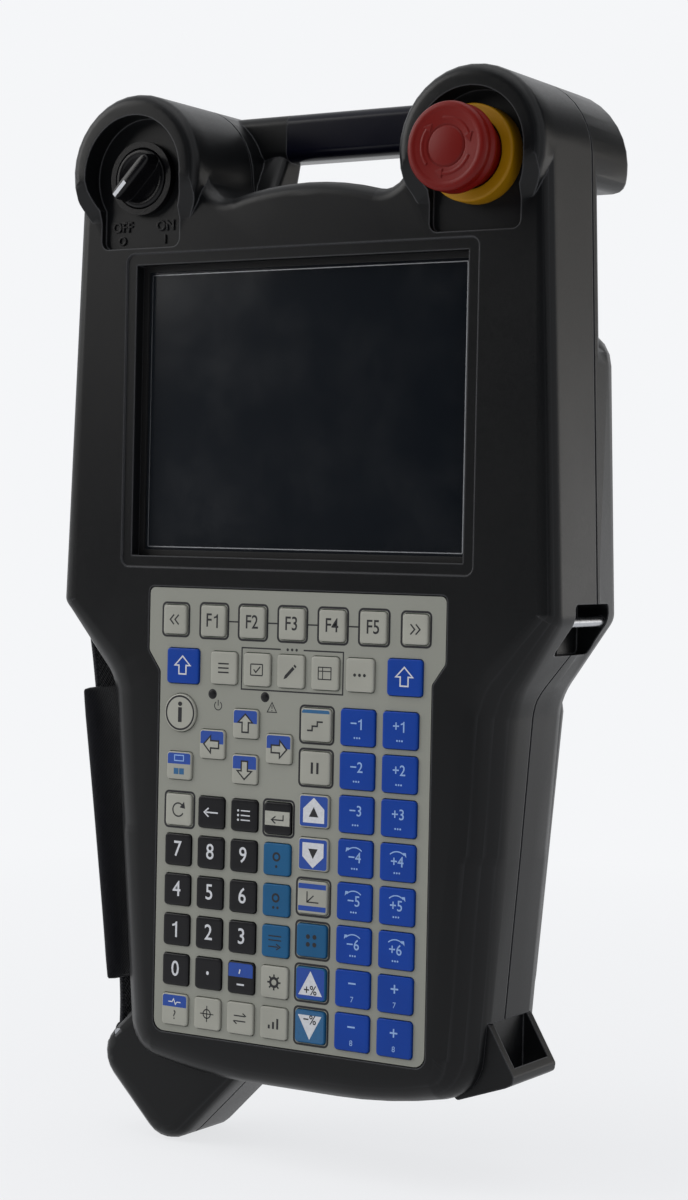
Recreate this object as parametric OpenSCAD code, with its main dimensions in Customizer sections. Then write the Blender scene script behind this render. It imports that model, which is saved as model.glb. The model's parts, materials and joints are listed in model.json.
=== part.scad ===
// Handheld teach pendant: two moulded shells, a screen, a keypad, an emergency
// stop, a key-less selector, two enabling levers and a hand strap.
// +X is the operator's right, +Y points into the case from its face, +Z is up.
// Sizes inside the modules are taken from the face (y) and from the lowest
// point of the case's bottom edge (z). The part is drawn with its origin at
// the middle of the hanging bar.

/* [Case outline] */
// Height of the crest between the ears above the bottom edge
crest_z = 309; // [305:1:312]
// Width across the shoulders, just above the waist
shoulder_w = 199; // [196:1:202]
// Height of the shoulder corner
shoulder_z = 163; // [160:1:166]
// Width of the grip, just below the waist
grip_w = 161; // [156:1:166]
// Height of the waist, where the flare meets the grip
waist_z = 136; // [133:1:139]
// Width of the grip at half height
grip_mid_w = 153; // [149:1:156]
// Width across the bottom corners
foot_w = 138; // [134:1:142]
// Height of the bottom corners above the bottom edge
foot_z = 7; // [4:1:9]
// Radius of the bottom corners
foot_r = 16; // [14:1:18]
// Thickness of the moulded wall
wall = 2.6; // [2.2:0.1:3]

/* [Case depth] */
// Depth from the face to the parting line above the waist
part_upper = 30; // [28:0.5:32]
// Depth from the face to the parting line below the waist
part_lower = 23; // [21:0.5:25]
// Depth from the face to the back of the ear plate
plate_back = 37; // [36:0.5:39]
// Depth from the face to the back of the main housing
rear_back = 52; // [51:0.5:55]
// Height of the upper edge of the main housing
bulge_z = 261; // [255:1:264]
// Rounding of the face's edge above the waist
face_r = 5; // [3.5:0.5:6]
// Rounding of the face's edge along the grip
grip_face_r = 14; // [11:0.5:14]
// Rounding of the face's bottom edge
foot_face_r = 9; // [7:0.5:11]
// Rounding of the back edges
back_r = 12; // [9:0.5:13]
// How far the back edge leans inwards at the shoulder corners
shoulder_lean = 2.5; // [1:0.25:2.5]
// Thickness of the seal between the shells
seal_t = 1; // [0.8:0.1:1.4]
// How far the seal lies inside the shells' outer face
seal_inset = 0.9; // [0.6:0.1:1.1]

/* [Ears and bar] */
// Distance of each ear's middle from the centre line
ear_x = 67; // [65:0.5:69]
// Height of the ears' middle
ear_z = 315.5; // [313:0.5:317]
// Radius of an ear
ear_r = 27; // [26:0.5:28]
// Depth from the face to the back of an ear
ear_back = 60; // [58:0.5:63]
// Height of the underside of the ear behind the plate
ear_under_z = 306.5; // [304:0.5:308]
// Radius of the valley beside each ear
valley_r = 9; // [8:0.5:10]
// How far each ear's hood stands in front of the face
hood_h = 6; // [4:0.5:7]
// Radius of the round pocket in each ear
pocket_r = 20.4; // [19.5:0.1:21]
// Depth of the pocket floor behind the face
pocket_d = 2.5; // [2:0.1:3]
// Half width of the recess below each pocket
recess_hw = 16.8; // [15.5:0.1:17.5]
// Height of the recess's lower edge
recess_z = 289; // [287.5:0.5:291]
// Half the height of the hanging bar's section
bar_r = 8.5; // [8:0.25:9]
// Depth of the hanging bar's axis behind the face
bar_y = 45; // [44:0.5:47]
// Height of the hanging bar's axis
bar_z = 331; // [329.5:0.5:332]
// Length of the bare stretch of the bar
bar_len = 62; // [58:1:64]
// Depth of the hanging bar's section
bar_d = 14; // [13:0.5:16]
// Rounding of the hanging bar's long edges
bar_edge = 4; // [3:0.25:5]
// Radius of the spigots on the bar's ends
spigot_r = 6; // [5:0.25:6.5]
// Length of each spigot
spigot_len = 9; // [7:0.5:11]

/* [Screen] */
// Sideways offset of the screen from the centre line
win_x = -1.8; // [-3:0.1:0]
// Height of the window's lower edge
win_z = 181; // [179:0.5:182]
// Width of the window opening
win_w = 133.4; // [131:0.2:135]
// Height of the window opening
win_h = 102; // [100:0.2:102.6]
// Width of the stepped frame around the window
bezel_w = 4; // [3:0.2:4.6]
// Depth of the stepped frame
bezel_d = 0.6; // [0.4:0.1:1]
// Depth from the face to the window's gasket
gasket_d = 5; // [4:0.2:6]
// Thickness of the gasket
gasket_t = 1; // [0.8:0.1:1.4]
// How far the gasket shows inside the opening
gasket_lip = 2.1; // [1.5:0.1:2.6]
// Thickness of the touch glass
glass_t = 1.8; // [1.4:0.1:2.4]
// Thickness of the display module
lcd_t = 5; // [4:0.5:6.5]

/* [Keypad] */
// Width of the key sheet beside the function keys
sheet_w = 119; // [117:0.5:121]
// Width of the key sheet along the grip
sheet_low_w = 109; // [108:0.5:111]
// Height of the sheet's upper edge
sheet_top = 170; // [169:0.5:171.5]
// Height of the sheet's lower edge
sheet_bottom = 15.5; // [14.5:0.1:15.6]
// Height of the lower end of the wide part of the sheet
sheet_step_z = 148; // [146.5:0.5:149]
// Thickness of the key sheet
sheet_t = 0.8; // [0.6:0.05:1]
// Depth of the recess that the sheet lies in
sheet_d = 1; // [1:0.05:1.3]
// Gap between the sheet and the recess's edge
sheet_gap = 0.4; // [0.3:0.05:0.7]
// Width of the ledge that carries the sheet
ledge_w = 1.4; // [1:0.1:1.5]
// How far a key stands in front of the face
key_up = 0.7; // [0.4:0.05:1]
// Travel of a key
key_travel = 0.6; // [0.4:0.05:0.7]
// Gap between a key and the sheet around it
key_gap = 0.25; // [0.2:0.05:0.3]
// How far a key's flange reaches under the sheet
flange_w = 0.7; // [0.5:0.05:0.8]
// Thickness of a key's flange
flange_t = 0.7; // [0.5:0.05:0.8]
// Play of a key's flange behind the sheet
flange_play = 0.1; // [0.05:0.05:0.2]
// Corner radius of a key
key_r = 1.2; // [0.8:0.1:1.6]
// Width and height of a number key
num_key = [10.8, 10.8]; // [8:0.1:14]
// Width and height of a jog key
jog_key = [13.4, 12.3]; // [8:0.1:14]
// Width and height of a key in the middle column
mid_key = [11.8, 11]; // [8:0.1:14]
// Width and height of a function key
fun_key = [10.2, 10.6]; // [8:0.1:14]
// Width and height of a shift key
shift_key = [13.3, 12.2]; // [8:0.1:14]
// Width and height of an arrow key
arrow_key = [10.4, 10]; // [8:0.1:14]
// Radius of the round information key
info_r = 6.6; // [6:0.1:6.8]
// Pitch of the number keys across
num_px = 13.7; // [13.5:0.05:13.8]
// Pitch of the number keys down
num_pz = 13.9; // [13.4:0.05:14]
// Pitch of the jog keys across
jog_px = 16.4; // [16.2:0.05:16.6]
// Pitch of the jog keys down
jog_pz = 14.5; // [14.2:0.05:14.7]
// Pitch of the function keys
fun_px = 16.1; // [15.6:0.05:16.1]
// Thickness of the key board
key_board_t = 1.6; // [1.2:0.1:2]

/* [Emergency stop] */
// Height of the stop's and the selector's axes
control_z = 313.5; // [312.5:0.5:314.5]
// Radius of the stop's head
stop_r = 14.5; // [13.5:0.25:15]
// How far the head's face stands in front of the case's face
stop_up = 20; // [19.5:0.5:21]
// Thickness of the head's rim
stop_rim = 8.6; // [7.6:0.1:8.6]
// Radius of the skirt behind the head
skirt_r = 11.5; // [11:0.1:11.7]
// Travel of the head
stop_travel = 4.5; // [3.5:0.25:5]
// Radius of the yellow ring
ring_r = 16; // [15.5:0.25:16.5]
// Thickness of the yellow ring
ring_t = 7.2; // [6:0.1:7.4]
// Radius of the stem inside the stop
stem_r = 4; // [3.5:0.1:4.5]
// Radial clearance of a turning or sliding shaft
shaft_fit = 0.05; // [0.03:0.01:0.08]
// Radius of the threaded barrel through the case
barrel_r = 8; // [7.5:0.1:8.5]

/* [Selector] */
// Radius of the selector knob
knob_r = 10.5; // [9.5:0.1:11]
// Width of the knob's grip ridge
ridge_w = 5; // [4:0.25:6]
// How far the ridge stands in front of the face
ridge_up = 7.5; // [6:0.25:8]
// Radius of the knob's stem
knob_stem_r = 3; // [2.5:0.1:3.5]
// Width of the collar around the knob
collar_w = 2.2; // [1.6:0.1:2.6]

/* [Enabling levers] */
// Distance of each lever's middle from the centre line
lever_x = 52; // [50:0.5:53]
// Width of a lever
lever_w = 22; // [20:0.5:22]
// Height of a lever's lower end
lever_bottom = 54; // [50:1:58]
// Height of a lever's upper end
lever_top = 137; // [134:1:138]
// How far a lever stands behind the housing
lever_up = 9; // [8:0.5:10]
// Thickness of the grip pads around the levers
pad_up = 5; // [4:0.5:6]
// Gap between a lever and its opening
lever_gap = 0.6; // [0.5:0.05:0.8]
// Height of the levers' pivot
pivot_z = 131; // [129:0.5:132]
// Depth of the levers' pivot behind the face
pivot_y = 46; // [45:0.5:47]
// Radius of a lever's pivot pin
pivot_r = 1.5; // [1.25:0.05:1.75]
// Swing of a lever
lever_swing = 4.5; // [3:0.5:5]

/* [Strap] */
// Width of the strap's webbing
web_w = 25; // [22:1:26]
// Thickness of the webbing
web_t = 2; // [1.5:0.1:2.4]
// Depth of the strap's middle line behind the face
strap_y = 28; // [27.5:0.5:28.5]
// Width of the padded sleeve
sleeve_w = 42; // [38:1:44]
// Thickness of the padded sleeve
sleeve_t = 6; // [5:0.5:7]
// Height of the sleeve's lower end
sleeve_z0 = 27; // [24:1:32]
// Height of the sleeve's upper end
sleeve_z1 = 134; // [130:1:136]
// Radius of the strap pins
strap_pin_r = 1.6; // [1.4:0.1:1.8]
// Distance of the waist pins inside the shoulders' edge
waist_pin_in = 5; // [4:0.25:6]
// Height of the waist pins
waist_pin_z = 162.5; // [161.5:0.25:163]
// Width of the waist slots along the depth
slot_w = 28; // [27:0.5:29]

/* [Leg and strap loop] */
// Width of the cable leg across its axis
leg_w = 47; // [45:0.5:49]
// Depth of the cable leg
leg_d = 34; // [32:0.5:35]
// Height of the middle of the leg's end face
leg_z = -14.5; // [-16:0.5:-13]
// Sideways place of the middle of the leg's end face
leg_x = -74.5; // [-76:0.5:-73]
// Radius of the cable socket's bore
socket_r = 8.6; // [8.2:0.1:8.8]
// Free depth of the cable socket
socket_d = 10; // [8:0.5:12]
// Reach of the strap loop beyond the bottom corner
loop_reach = 11.5; // [11.5:0.5:13]
// Thickness of the strap loop's arms
loop_t = 3; // [2.6:0.1:3.4]

/* [Hidden] */

case_c = "#1d1e21";
steel_c = "#b9bcc0";
board_c = "#1f6b3f";
black_c = "#0d0d0e";
light_c = "#d2d1c8";
blue_c = "#1846b8";
teal_c = "#2f77a8";
dark_c = "#17181f";

eps = 0.01;
big = 400;
through = 66;

// ---- plane curves -------------------------------------------------------

// Points on an arc about c, from angle a0 to a1
function arc(c, r, a0, a1, n) =
    [for (i = [0:n]) let (a = a0 + (a1 - a0) * i / n) c + r * [cos(a), sin(a)]];

// The arc of radius r that rounds the corner b of the line a-b-c
function corner(a, b, c, r, n) =
    let (u = (a - b) / norm(a - b), v = (c - b) / norm(c - b),
        half = acos(u * v) / 2, o = b + (u + v) / norm(u + v) * r / sin(half),
        s = b + u * r / tan(half) - o, e = b + v * r / tan(half) - o,
        a0 = atan2(s[1], s[0]), turn = atan2(e[1], e[0]) - a0,
        sweep = turn > 180 ? turn - 360 : turn < -180 ? turn + 360 : turn)
    arc(o, r, a0, a0 + sweep, n);

function mirrored(p) = [for (i = [len(p) - 1:-1:0]) if (abs(p[i][0]) > eps) [-p[i][0], p[i][1]]];

function smooth(t) = let (c = min(max(t, 0), 1)) c * c * (3 - 2 * c);

// ---- outline of the case ------------------------------------------------

waist_pin_x = shoulder_w / 2 - waist_pin_in;
slot_x = shoulder_w / 2 - 3;

ear_c = [ear_x, ear_z];
v_base = [38, 0];
v_foot = [foot_w / 2 + 1, foot_z];
v_grip = [grip_mid_w / 2, 84];
v_waist = [grip_w / 2, waist_z];
v_shoulder = [shoulder_w / 2, shoulder_z];
ear_line = v_shoulder - ear_c;
ear_a0 = atan2(ear_line[1], ear_line[0]) + acos(ear_r / norm(ear_line));
ear_touch = ear_c + ear_r * [cos(ear_a0), sin(ear_a0)];

// Width of the case's side, above the shoulders, at height z
function side_x(z) = v_shoulder[0] + (ear_touch[0] - v_shoulder[0])
    * (z - v_shoulder[1]) / (ear_touch[1] - v_shoulder[1]);

// Width of the grip's side at height z
function grip_x(z) = z < v_grip[1]
    ? v_foot[0] + (v_grip[0] - v_foot[0]) * (z - v_foot[1]) / (v_grip[1] - v_foot[1])
    : v_grip[0] + (v_waist[0] - v_grip[0]) * (z - v_grip[1]) / (v_waist[1] - v_grip[1]);

function flank(top) = concat(
    corner([-v_base[0], 0], v_base, v_foot, 180, 4),
    corner(v_base, v_foot, v_grip, foot_r, 6),
    corner(v_foot, v_grip, v_waist, 500, 3),
    corner(v_grip, v_waist, v_shoulder, 22, 5),
    corner(v_waist, v_shoulder, top, 7, 5));

valley_c = [ear_x - ear_r - valley_r, ear_z - 1.5];
valley_h = valley_c[1] - crest_z;
crest_r = (pow(valley_c[0], 2) + pow(valley_h, 2) - pow(valley_r, 2))
    / (2 * (valley_r - valley_h));
crest_c = [0, crest_z - crest_r];
crest_a = atan2(valley_c[1] - crest_c[1], valley_c[0]);

ear_top = arc(ear_c, ear_r, ear_a0, 180, 18);
function after(p) = [for (i = [1:len(p) - 1]) p[i]];

right_half = concat(flank(ear_touch), ear_top,
    after(arc(valley_c, valley_r, 0, crest_a - 180, 6)),
    arc(crest_c, crest_r, crest_a, 90, 4));
outline = concat(right_half, mirrored(right_half));

bulge_top = [side_x(bulge_z), bulge_z];
right_bulge = concat(flank(bulge_top),
    corner(v_shoulder, bulge_top, [0, bulge_z], back_r + 2, 5));
bulge_outline = concat(right_bulge, mirrored(right_bulge));

stub_hw = sqrt(pow(ear_r, 2) - pow(ear_z - ear_under_z, 2));
stub_r = 4.5;
stub_a = asin((ear_z - ear_under_z - stub_r) / (ear_r - stub_r));
stub_cx = (ear_r - stub_r) * cos(stub_a);
right_stub = concat(
    arc([ear_x + stub_cx, ear_under_z + stub_r], stub_r, -90, -stub_a - 4, 3),
    arc(ear_c, ear_r, -stub_a, ear_a0 - 7, 2), ear_top,
    arc(ear_c, ear_r, 187, 180 + stub_a, 2),
    arc([ear_x - stub_cx, ear_under_z + stub_r], stub_r, 184 + stub_a, 270, 3));
right_hood = concat(ear_top, arc(ear_c, ear_r, 192, 348 + ear_a0, 13));

function on_side(p, side) = side > 0 ? p : mirrored(p);

// ---- rounded shells -----------------------------------------------------

function normals(p) = let (n = len(p)) [for (i = [0:n - 1])
    let (t = p[(i + 1) % n] - p[(i + n - 1) % n]) [t[1], -t[0]] / norm(t)];

// Rounding of the face's edge at point p with outward normal n
function face_edge(p, n) =
    let (side = grip_face_r + (face_r - grip_face_r)
        * smooth((p[1] - waist_z) / (shoulder_z + 5 - waist_z)))
    side + (foot_face_r - side) * pow(max(-n[1], 0), 2);

face_rr = let (n = normals(outline)) [for (i = [0:len(outline) - 1]) face_edge(outline[i], n[i])];

function same(p, r) = [for (q = p) r];

// Rounding of the back edge, tighter round the shoulder corners
function back_edge(p) = [for (q = p) back_r - (back_r - 5.5)
    * (1 - smooth(abs(q[1] - shoulder_z) / 16))];

// Inward lean of the back edge, in mm at x = 100
function back_lean(p) = [for (q = p) shoulder_lean * (1 - smooth(abs(q[1] - shoulder_z) / 16))];

// A solid on outline p (x, z), inset by d, from depth y0 to the flat at y1,
// whose edge at y1 is rounded by rr and leans inwards by lean
module skin(p, rr, y0, y1, d = 0, steps = 4, lean = []) {
    count = len(p);
    n = normals(p);
    s = y0 > y1 ? 1 : -1;
    function at(i, inset, y) = [p[i][0] - n[i][0] * inset, y, p[i][1] - n[i][1] * inset];
    leans = len(lean) > 0;
    rings = concat([for (y = leans ? [y0, part_upper] : [y0]) [for (i = [0:count - 1]) at(i, d, y)]],
        [for (k = [0:steps]) let (a = 90 * k / steps) [for (i = [0:count - 1])
            let (r = max(rr[i] - d, 0.5), q = at(i, d + r * (1 - cos(a)), y1 + s * r * (1 - sin(a))))
            [q[0] * (leans ? 1 - lean[i] / 100 : 1), q[1], q[2]]]]);
    pts = [for (ring = rings) each ring];
    last = (len(rings) - 1) * count;
    function flip(f) = s < 0 ? f : [for (i = [len(f) - 1:-1:0]) f[i]];
    sides = [for (k = [0:len(rings) - 2]) for (i = [0:count - 1])
        let (a = k * count + i, b = k * count + (i + 1) % count)
        each [flip([a, b, b + count]), flip([a, b + count, a + count])]];
    polyhedron(pts, concat(sides,
        [flip([for (i = [count - 1:-1:0]) i]), flip([for (i = [0:count - 1]) last + i])]));
}

// Space in front of the parting surface, moved forwards by gap
module ahead(gap = 0) {
    rotate([90, 0, 90]) linear_extrude(big, center = true) polygon([
        [-big / 4, -big / 4], [part_lower - gap, -big / 4],
        [part_lower - gap, waist_z], [part_upper - gap, shoulder_z],
        [part_upper - gap, big], [-big / 4, big]]);
}

// Space behind the parting surface, moved backwards by gap
module behind(gap = 0) {
    rotate([90, 0, 90]) linear_extrude(big, center = true) polygon([
        [big / 2, -big / 4], [part_lower + gap, -big / 4],
        [part_lower + gap, waist_z], [part_upper + gap, shoulder_z],
        [part_upper + gap, big], [big / 2, big]]);
}

// Depth of the parting surface at height z
function part_y(z) = part_lower + (part_upper - part_lower)
    * min(max((z - waist_z) / (shoulder_z - waist_z), 0), 1);

module place(c) {
    translate([0, -bar_y, -bar_z]) color(c) children();
}

// Draws its child at depth y0, extruded to y1
module slab(y0, y1) {
    translate([0, y1, 0]) rotate([90, 0, 0]) linear_extrude(y1 - y0) children();
}

// A rod along Y at (x, z)
module rod(x, z, r, y0, y1) {
    translate([x, y0, z]) rotate([-90, 0, 0]) cylinder(r = r, h = y1 - y0);
}

// A rounded rectangle, w by h, about its middle
module round_rect(w, h, r) {
    square([w - 2 * r, h], center = true);
    square([w, h - 2 * r], center = true);
    for (sx = [-1, 1], sz = [-1, 1])
        translate([sx * (w / 2 - r), sz * (h / 2 - r)]) circle(r, $fn = 32);
}

// A block with rounded upright edges, w by h, about (x, z)
module round_block(x, z, w, h, r, y0, y1) {
    hull() for (sx = [-1, 1], sz = [-1, 1])
        translate([sx * (w / 2 - r), 0, sz * (h / 2 - r)]) rod(x, z, r, y0, y1, $fn = 24);
}

// ---- features shared by the shells --------------------------------------

// The leg's own frame: +X runs up the leg from the middle of its end face
module leg_frame() {
    translate([leg_x, strap_y + 1, leg_z]) rotate([0, -45, 0]) children();
}

leg_corner = 12;
leg_edge = 5;
leg_len = 56;

// A disc of the leg's corner radius with rounded rims, along Y
module leg_puck() {
    rotate([90, 0, 0]) rotate_extrude($fn = 24) {
        translate([0, -leg_d / 2]) square([leg_corner - leg_edge, leg_d]);
        translate([0, -leg_d / 2 + leg_edge]) square([leg_corner, leg_d - 2 * leg_edge]);
        for (s = [-1, 1]) translate([leg_corner - leg_edge, s * (leg_d / 2 - leg_edge)])
            circle(leg_edge, $fn = 12);
    }
}

module leg_block() {
    leg_frame() hull() for (x = [leg_corner, leg_len], s = [-1, 1])
        translate([x, 0, s * (leg_w / 2 - leg_corner)]) leg_puck();
}

socket_wall = 1.4;
socket_flange = 11.5;
leg_bore_r = socket_r + socket_wall + 0.1;

// The bore for the cable socket, and the notch for the strap's lower pin
module leg_cuts() {
    leg_frame() {
        translate([-1, 0, 0]) rotate([0, 90, 0]) cylinder(r = leg_bore_r, h = leg_len, $fn = 32);
        translate([-1, 0, 0]) rotate([0, 90, 0]) cylinder(r = socket_flange + 0.2, h = 2.6, $fn = 32);
        translate([7, -slot_w / 2 - 1, leg_w / 2 - 7.5]) cube([13, slot_w, 12]);
    }
}

leg_pin = [leg_x + 13.5 * cos(45) - 20 * sin(45), leg_z + 13.5 * sin(45) + 20 * cos(45)];

// The slot at one waist corner, grown by g
module waist_slot(side, g = 0) {
    translate([side * slot_x, strap_y, shoulder_z - 3]) hull() for (sy = [-1, 1], sz = [-1, 1])
        translate([0, sy * (slot_w / 2 + g - 2), sz * (8.5 + g - 2)]) rotate([0, 90, 0])
            cylinder(r = 2, h = 21 + 2 * g, center = true, $fn = 16);
}

loop_y0 = strap_y - slot_w / 2 - 2;
loop_y1 = strap_y + slot_w / 2;
loop_tip = [foot_w / 2 + loop_reach, 12.5];

// Side view of the strap loop: its foot lies inside the case's wall
module loop_side(g = 0) {
    polygon([[63 - g, 33 + g], [foot_w / 2 + 3, 30 + g], loop_tip + [1, 1.5 + g],
        loop_tip + [0.6, -1], loop_tip - [2, 2.4 + g], [60, 3.6 - g], [58 - g, 10]]);
}

module loop_space(g) {
    slab(loop_y0 - g, loop_y1 + g) loop_side(g);
}

screw_at = [[87, 181], [87, 243], [46, 12], [28, 297]];
screw_r = 1.5;
screw_head_r = 3;
boss_r = 4;

// Depth of the surface that a screw's head sits on
function screw_seat(p) = (p[1] > bulge_z ? plate_back : rear_back) - 2.6;

// ---- front case ---------------------------------------------------------

// The guard that stands round the upper half of a pocket
module hood(side) {
    intersection() {
        skin(on_side(right_hood, side), same(right_hood, 4), face_r, -hood_h, 0, 4);
        rotate([90, 0, 90]) linear_extrude(big, center = true) polygon([
            [6, 270], [0.5, 270], [0, ear_z - 17], [-1.4, ear_z - 13],
            [-hood_h + 1, ear_z - 6], [-hood_h - 1, ear_z + 1], [-hood_h - 1, 350], [6, 350]]);
    }
}

module pocket(side, r, depth, g = 0) {
    rod(side * ear_x, control_z + 1, r + g, -hood_h - 2, depth, $fn = 60);
    round_block(side * ear_x, (recess_z + ear_z) / 2, 2 * (recess_hw + g),
        ear_z - recess_z + 2 * g, 3 + g, -2, depth);
}

module sheet_outline(g = 0) {
    w1 = sheet_w / 2 + g;
    w2 = sheet_low_w / 2 + g;
    top = sheet_top + g;
    low = sheet_bottom - g;
    step = (sheet_w - sheet_low_w) / 2 * 1.4;
    side = concat(corner([0, low], [w2, low], [w2, sheet_step_z], 4, 5),
        corner([w2, low], [w2, sheet_step_z - step], [w1, sheet_step_z], 2.5, 3),
        corner([w2, sheet_step_z - step], [w1, sheet_step_z], [w1, top], 2.5, 3),
        corner([w1, sheet_step_z], [w1, top], [0, top], 2, 4));
    polygon(concat(side, mirrored(side)));
}

module front_hollow() {
    difference() {
        skin(outline, face_rr, part_upper + 9, wall, wall, 2);
        for (side = [-1, 1]) {
            pocket(side, pocket_r, pocket_d + 2.4, 2.1);
            waist_slot(side, 2);
        }
        translate([win_x, (gasket_d + wall) / 2 - eps, win_z + win_h / 2])
            cube([win_w + 6, gasket_d - wall + 2 * eps, win_h + 6], center = true);
        for (p = screw_at, side = [-1, 1])
            rod(side * p[0], p[1], boss_r, 0, through, $fn = 16);
    }
}

module front_case() place(case_c) {
    difference() {
        union() {
            skin(outline, face_rr, part_upper + 8, 0);
            for (side = [-1, 1]) hood(side);
            leg_block();
        }
        front_hollow();
        behind(-seal_t / 2);
        translate([win_x, 0, win_z + win_h / 2])
            cube([win_w, 3 * gasket_d, win_h], center = true);
        round_block(win_x, win_z + win_h / 2, win_w + 2 * bezel_w, win_h + 2 * bezel_w, 3,
            -1, bezel_d);
        slab(-1, sheet_d) sheet_outline(sheet_gap);
        slab(-1, 2 * wall) sheet_outline(-ledge_w);
        for (side = [-1, 1]) {
            pocket(side, pocket_r, pocket_d);
            rod(side * ear_x, control_z, barrel_r + 0.15, -1, 12, $fn = 36);
            waist_slot(side);
            rod(side * waist_pin_x, waist_pin_z, strap_pin_r + 0.15,
                strap_y - slot_w / 2 - 3, through, $fn = 24);
        }
        leg_cuts();
        rod(leg_pin[0], leg_pin[1], strap_pin_r + 0.15, strap_y + 1 - slot_w / 2 - 2.5,
            through, $fn = 24);
        loop_space(0.15);
        for (p = screw_at, side = [-1, 1])
            rod(side * p[0], p[1], screw_r + 0.1, 8, through, $fn = 12);
    }
}

// ---- rear case ----------------------------------------------------------

// The bar's own section, len long across the pendant
module bar_section(len) {
    rotate([90, 0, 90]) linear_extrude(len, center = true) round_rect(bar_d, 2 * bar_r, bar_edge);
}

// The end of the bar that is moulded on the ear, with the web below it
module bar_flare(side) {
    inner = bar_len / 2 + 0.1;
    outer = ear_x - 9;
    translate([side * (inner + outer) / 2, bar_y, bar_z]) bar_section(outer - inner);
    hull() for (p = [[inner + 3.2, bar_y - 2, bar_z - bar_r + 4, 3], [inner + 3.2, bar_y + 3, bar_z - bar_r + 4, 3],
            [inner + 3.2, plate_back - 5, crest_z - 3, 3], [inner + 3.2, bar_y - 2, crest_z - 1, 3],
            [ear_x - ear_r + 5, bar_y + 3, bar_z - bar_r + 6, 4], [ear_x - ear_r + 5, plate_back - 4, crest_z - 4, 4],
            [ear_x - ear_r + 5, bar_y, crest_z - 3, 4]])
        translate([side * p[0], p[1], p[2]]) sphere(p[3], $fn = 12);
}

// The raised pad around one lever
module grip_pad(side) {
    hull() for (p = [[30, lever_top - 6, 12], [grip_x(lever_top - 6) - 16, lever_top - 6, 12],
            [34, 36, 14], [grip_x(40) - 19, 40, 14]])
        translate([side * p[0], rear_back - 4, p[1]]) rotate([-90, 0, 0])
            rotate_extrude($fn = 20) {
                square([p[2] - 5, pad_up + 4]);
                square([p[2], pad_up - 1]);
                translate([p[2] - 5, pad_up - 1]) circle(5, $fn = 12);
            }
}

// A lever's lower end drops a little as it swings in
lever_drop = 1.2;
opening_bottom = lever_bottom - lever_gap - lever_drop;
opening_top = lever_top + lever_gap;

module lever_opening(side) {
    round_block(side * lever_x, (opening_top + opening_bottom) / 2, lever_w + 2 * lever_gap,
        opening_top - opening_bottom, 3, rear_back - 14, rear_back + 12);
}

board_y = 26;
board_posts = [[54, 196], [54, 250], [26, 30], [26, 150]];

module rear_hollow() {
    difference() {
        union() {
            skin(outline, same(outline, 5), part_lower - 3, plate_back - wall, wall, 1);
            skin(bulge_outline, back_edge(bulge_outline), part_lower - 3,
                rear_back - wall, wall, 2, back_lean(bulge_outline));
            for (side = [-1, 1]) skin(on_side(right_stub, side), same(right_stub, 3.6),
                part_lower - 3, ear_back - wall, wall, 1);
        }
        for (side = [-1, 1]) {
            waist_slot(side, 2);
            for (end = [-1, 1]) pivot_ear(side, end);
        }
        for (p = screw_at, side = [-1, 1])
            rod(side * p[0], p[1], boss_r, part_lower - 4, through, $fn = 16);
        for (p = board_posts, side = [-1, 1])
            rod(side * p[0], p[1], 3, board_y + 1.6, through, $fn = 12);
    }
}

module rear_case() place(case_c) {
    difference() {
        union() {
            skin(outline, same(outline, 5), part_lower - 2, plate_back, 0, 3);
            skin(bulge_outline, back_edge(bulge_outline), part_lower - 2, rear_back,
                lean = back_lean(bulge_outline));
            for (side = [-1, 1]) {
                skin(on_side(right_stub, side), same(right_stub, 3.6), part_lower, ear_back,
                    0, 3);
                bar_flare(side);
                grip_pad(side);
            }
            leg_block();
        }
        rear_hollow();
        ahead(-seal_t / 2);
        for (side = [-1, 1]) {
            lever_opening(side);
            waist_slot(side);
            rod(side * waist_pin_x, waist_pin_z, strap_pin_r + 0.15,
                part_lower, strap_y + slot_w / 2 + 3, $fn = 20);
            translate([side * (bar_len / 2 - 1), bar_y, bar_z]) rotate([0, side * 90, 0])
                cylinder(r = spigot_r + 0.1, h = spigot_len + 1.1, $fn = 32);
            translate([side * lever_x, pivot_y, pivot_z]) rotate([0, 90, 0])
                cylinder(r = pivot_r + 0.1, h = lever_w + 12, center = true, $fn = 20);
        }
        leg_cuts();
        rod(leg_pin[0], leg_pin[1], strap_pin_r + 0.15, part_lower,
            strap_y + 1 + slot_w / 2 + 2.5, $fn = 20);
        loop_space(0.15);
        for (p = screw_at, side = [-1, 1]) {
            rod(side * p[0], p[1], screw_head_r + 0.3, screw_seat(p), through, $fn = 16);
            rod(side * p[0], p[1], screw_r + 0.15, part_lower - 2, through, $fn = 12);
        }
    }
}

pivot_ear_t = 2.4;

// One of the two walls that carry a lever's pin
module pivot_ear(side, end) {
    translate([side * lever_x + end * (lever_w / 2 + lever_gap + pivot_ear_t / 2), 0, pivot_z])
        hull() {
            translate([0, pivot_y, 0]) rotate([0, 90, 0])
                cylinder(r = 4.5, h = pivot_ear_t, center = true, $fn = 24);
            translate([0, rear_back, 0]) cube([pivot_ear_t, 2, 14], center = true);
        }
}

// ---- seal, screws and bar -----------------------------------------------

module case_seal() place(black_c) {
    inner = let (n = normals(outline)) [for (i = [0:len(outline) - 1]) outline[i] - n[i] * wall];
    outer = let (n = normals(outline)) [for (i = [0:len(outline) - 1]) outline[i] - n[i] * seal_inset];
    difference() {
        slab(part_lower - 5, part_upper + 5) polygon(outer);
        slab(part_lower - 6, part_upper + 6) polygon(inner);
        ahead(seal_t / 2);
        behind(seal_t / 2);
        for (side = [-1, 1]) translate([side * slot_x, strap_y, shoulder_z - 3])
            cube([22, slot_w, 18], center = true);
        leg_frame() translate([0, -leg_d / 2, -leg_w / 2]) cube([leg_len, leg_d, leg_w]);
        loop_space(0.15);
    }
}

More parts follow.
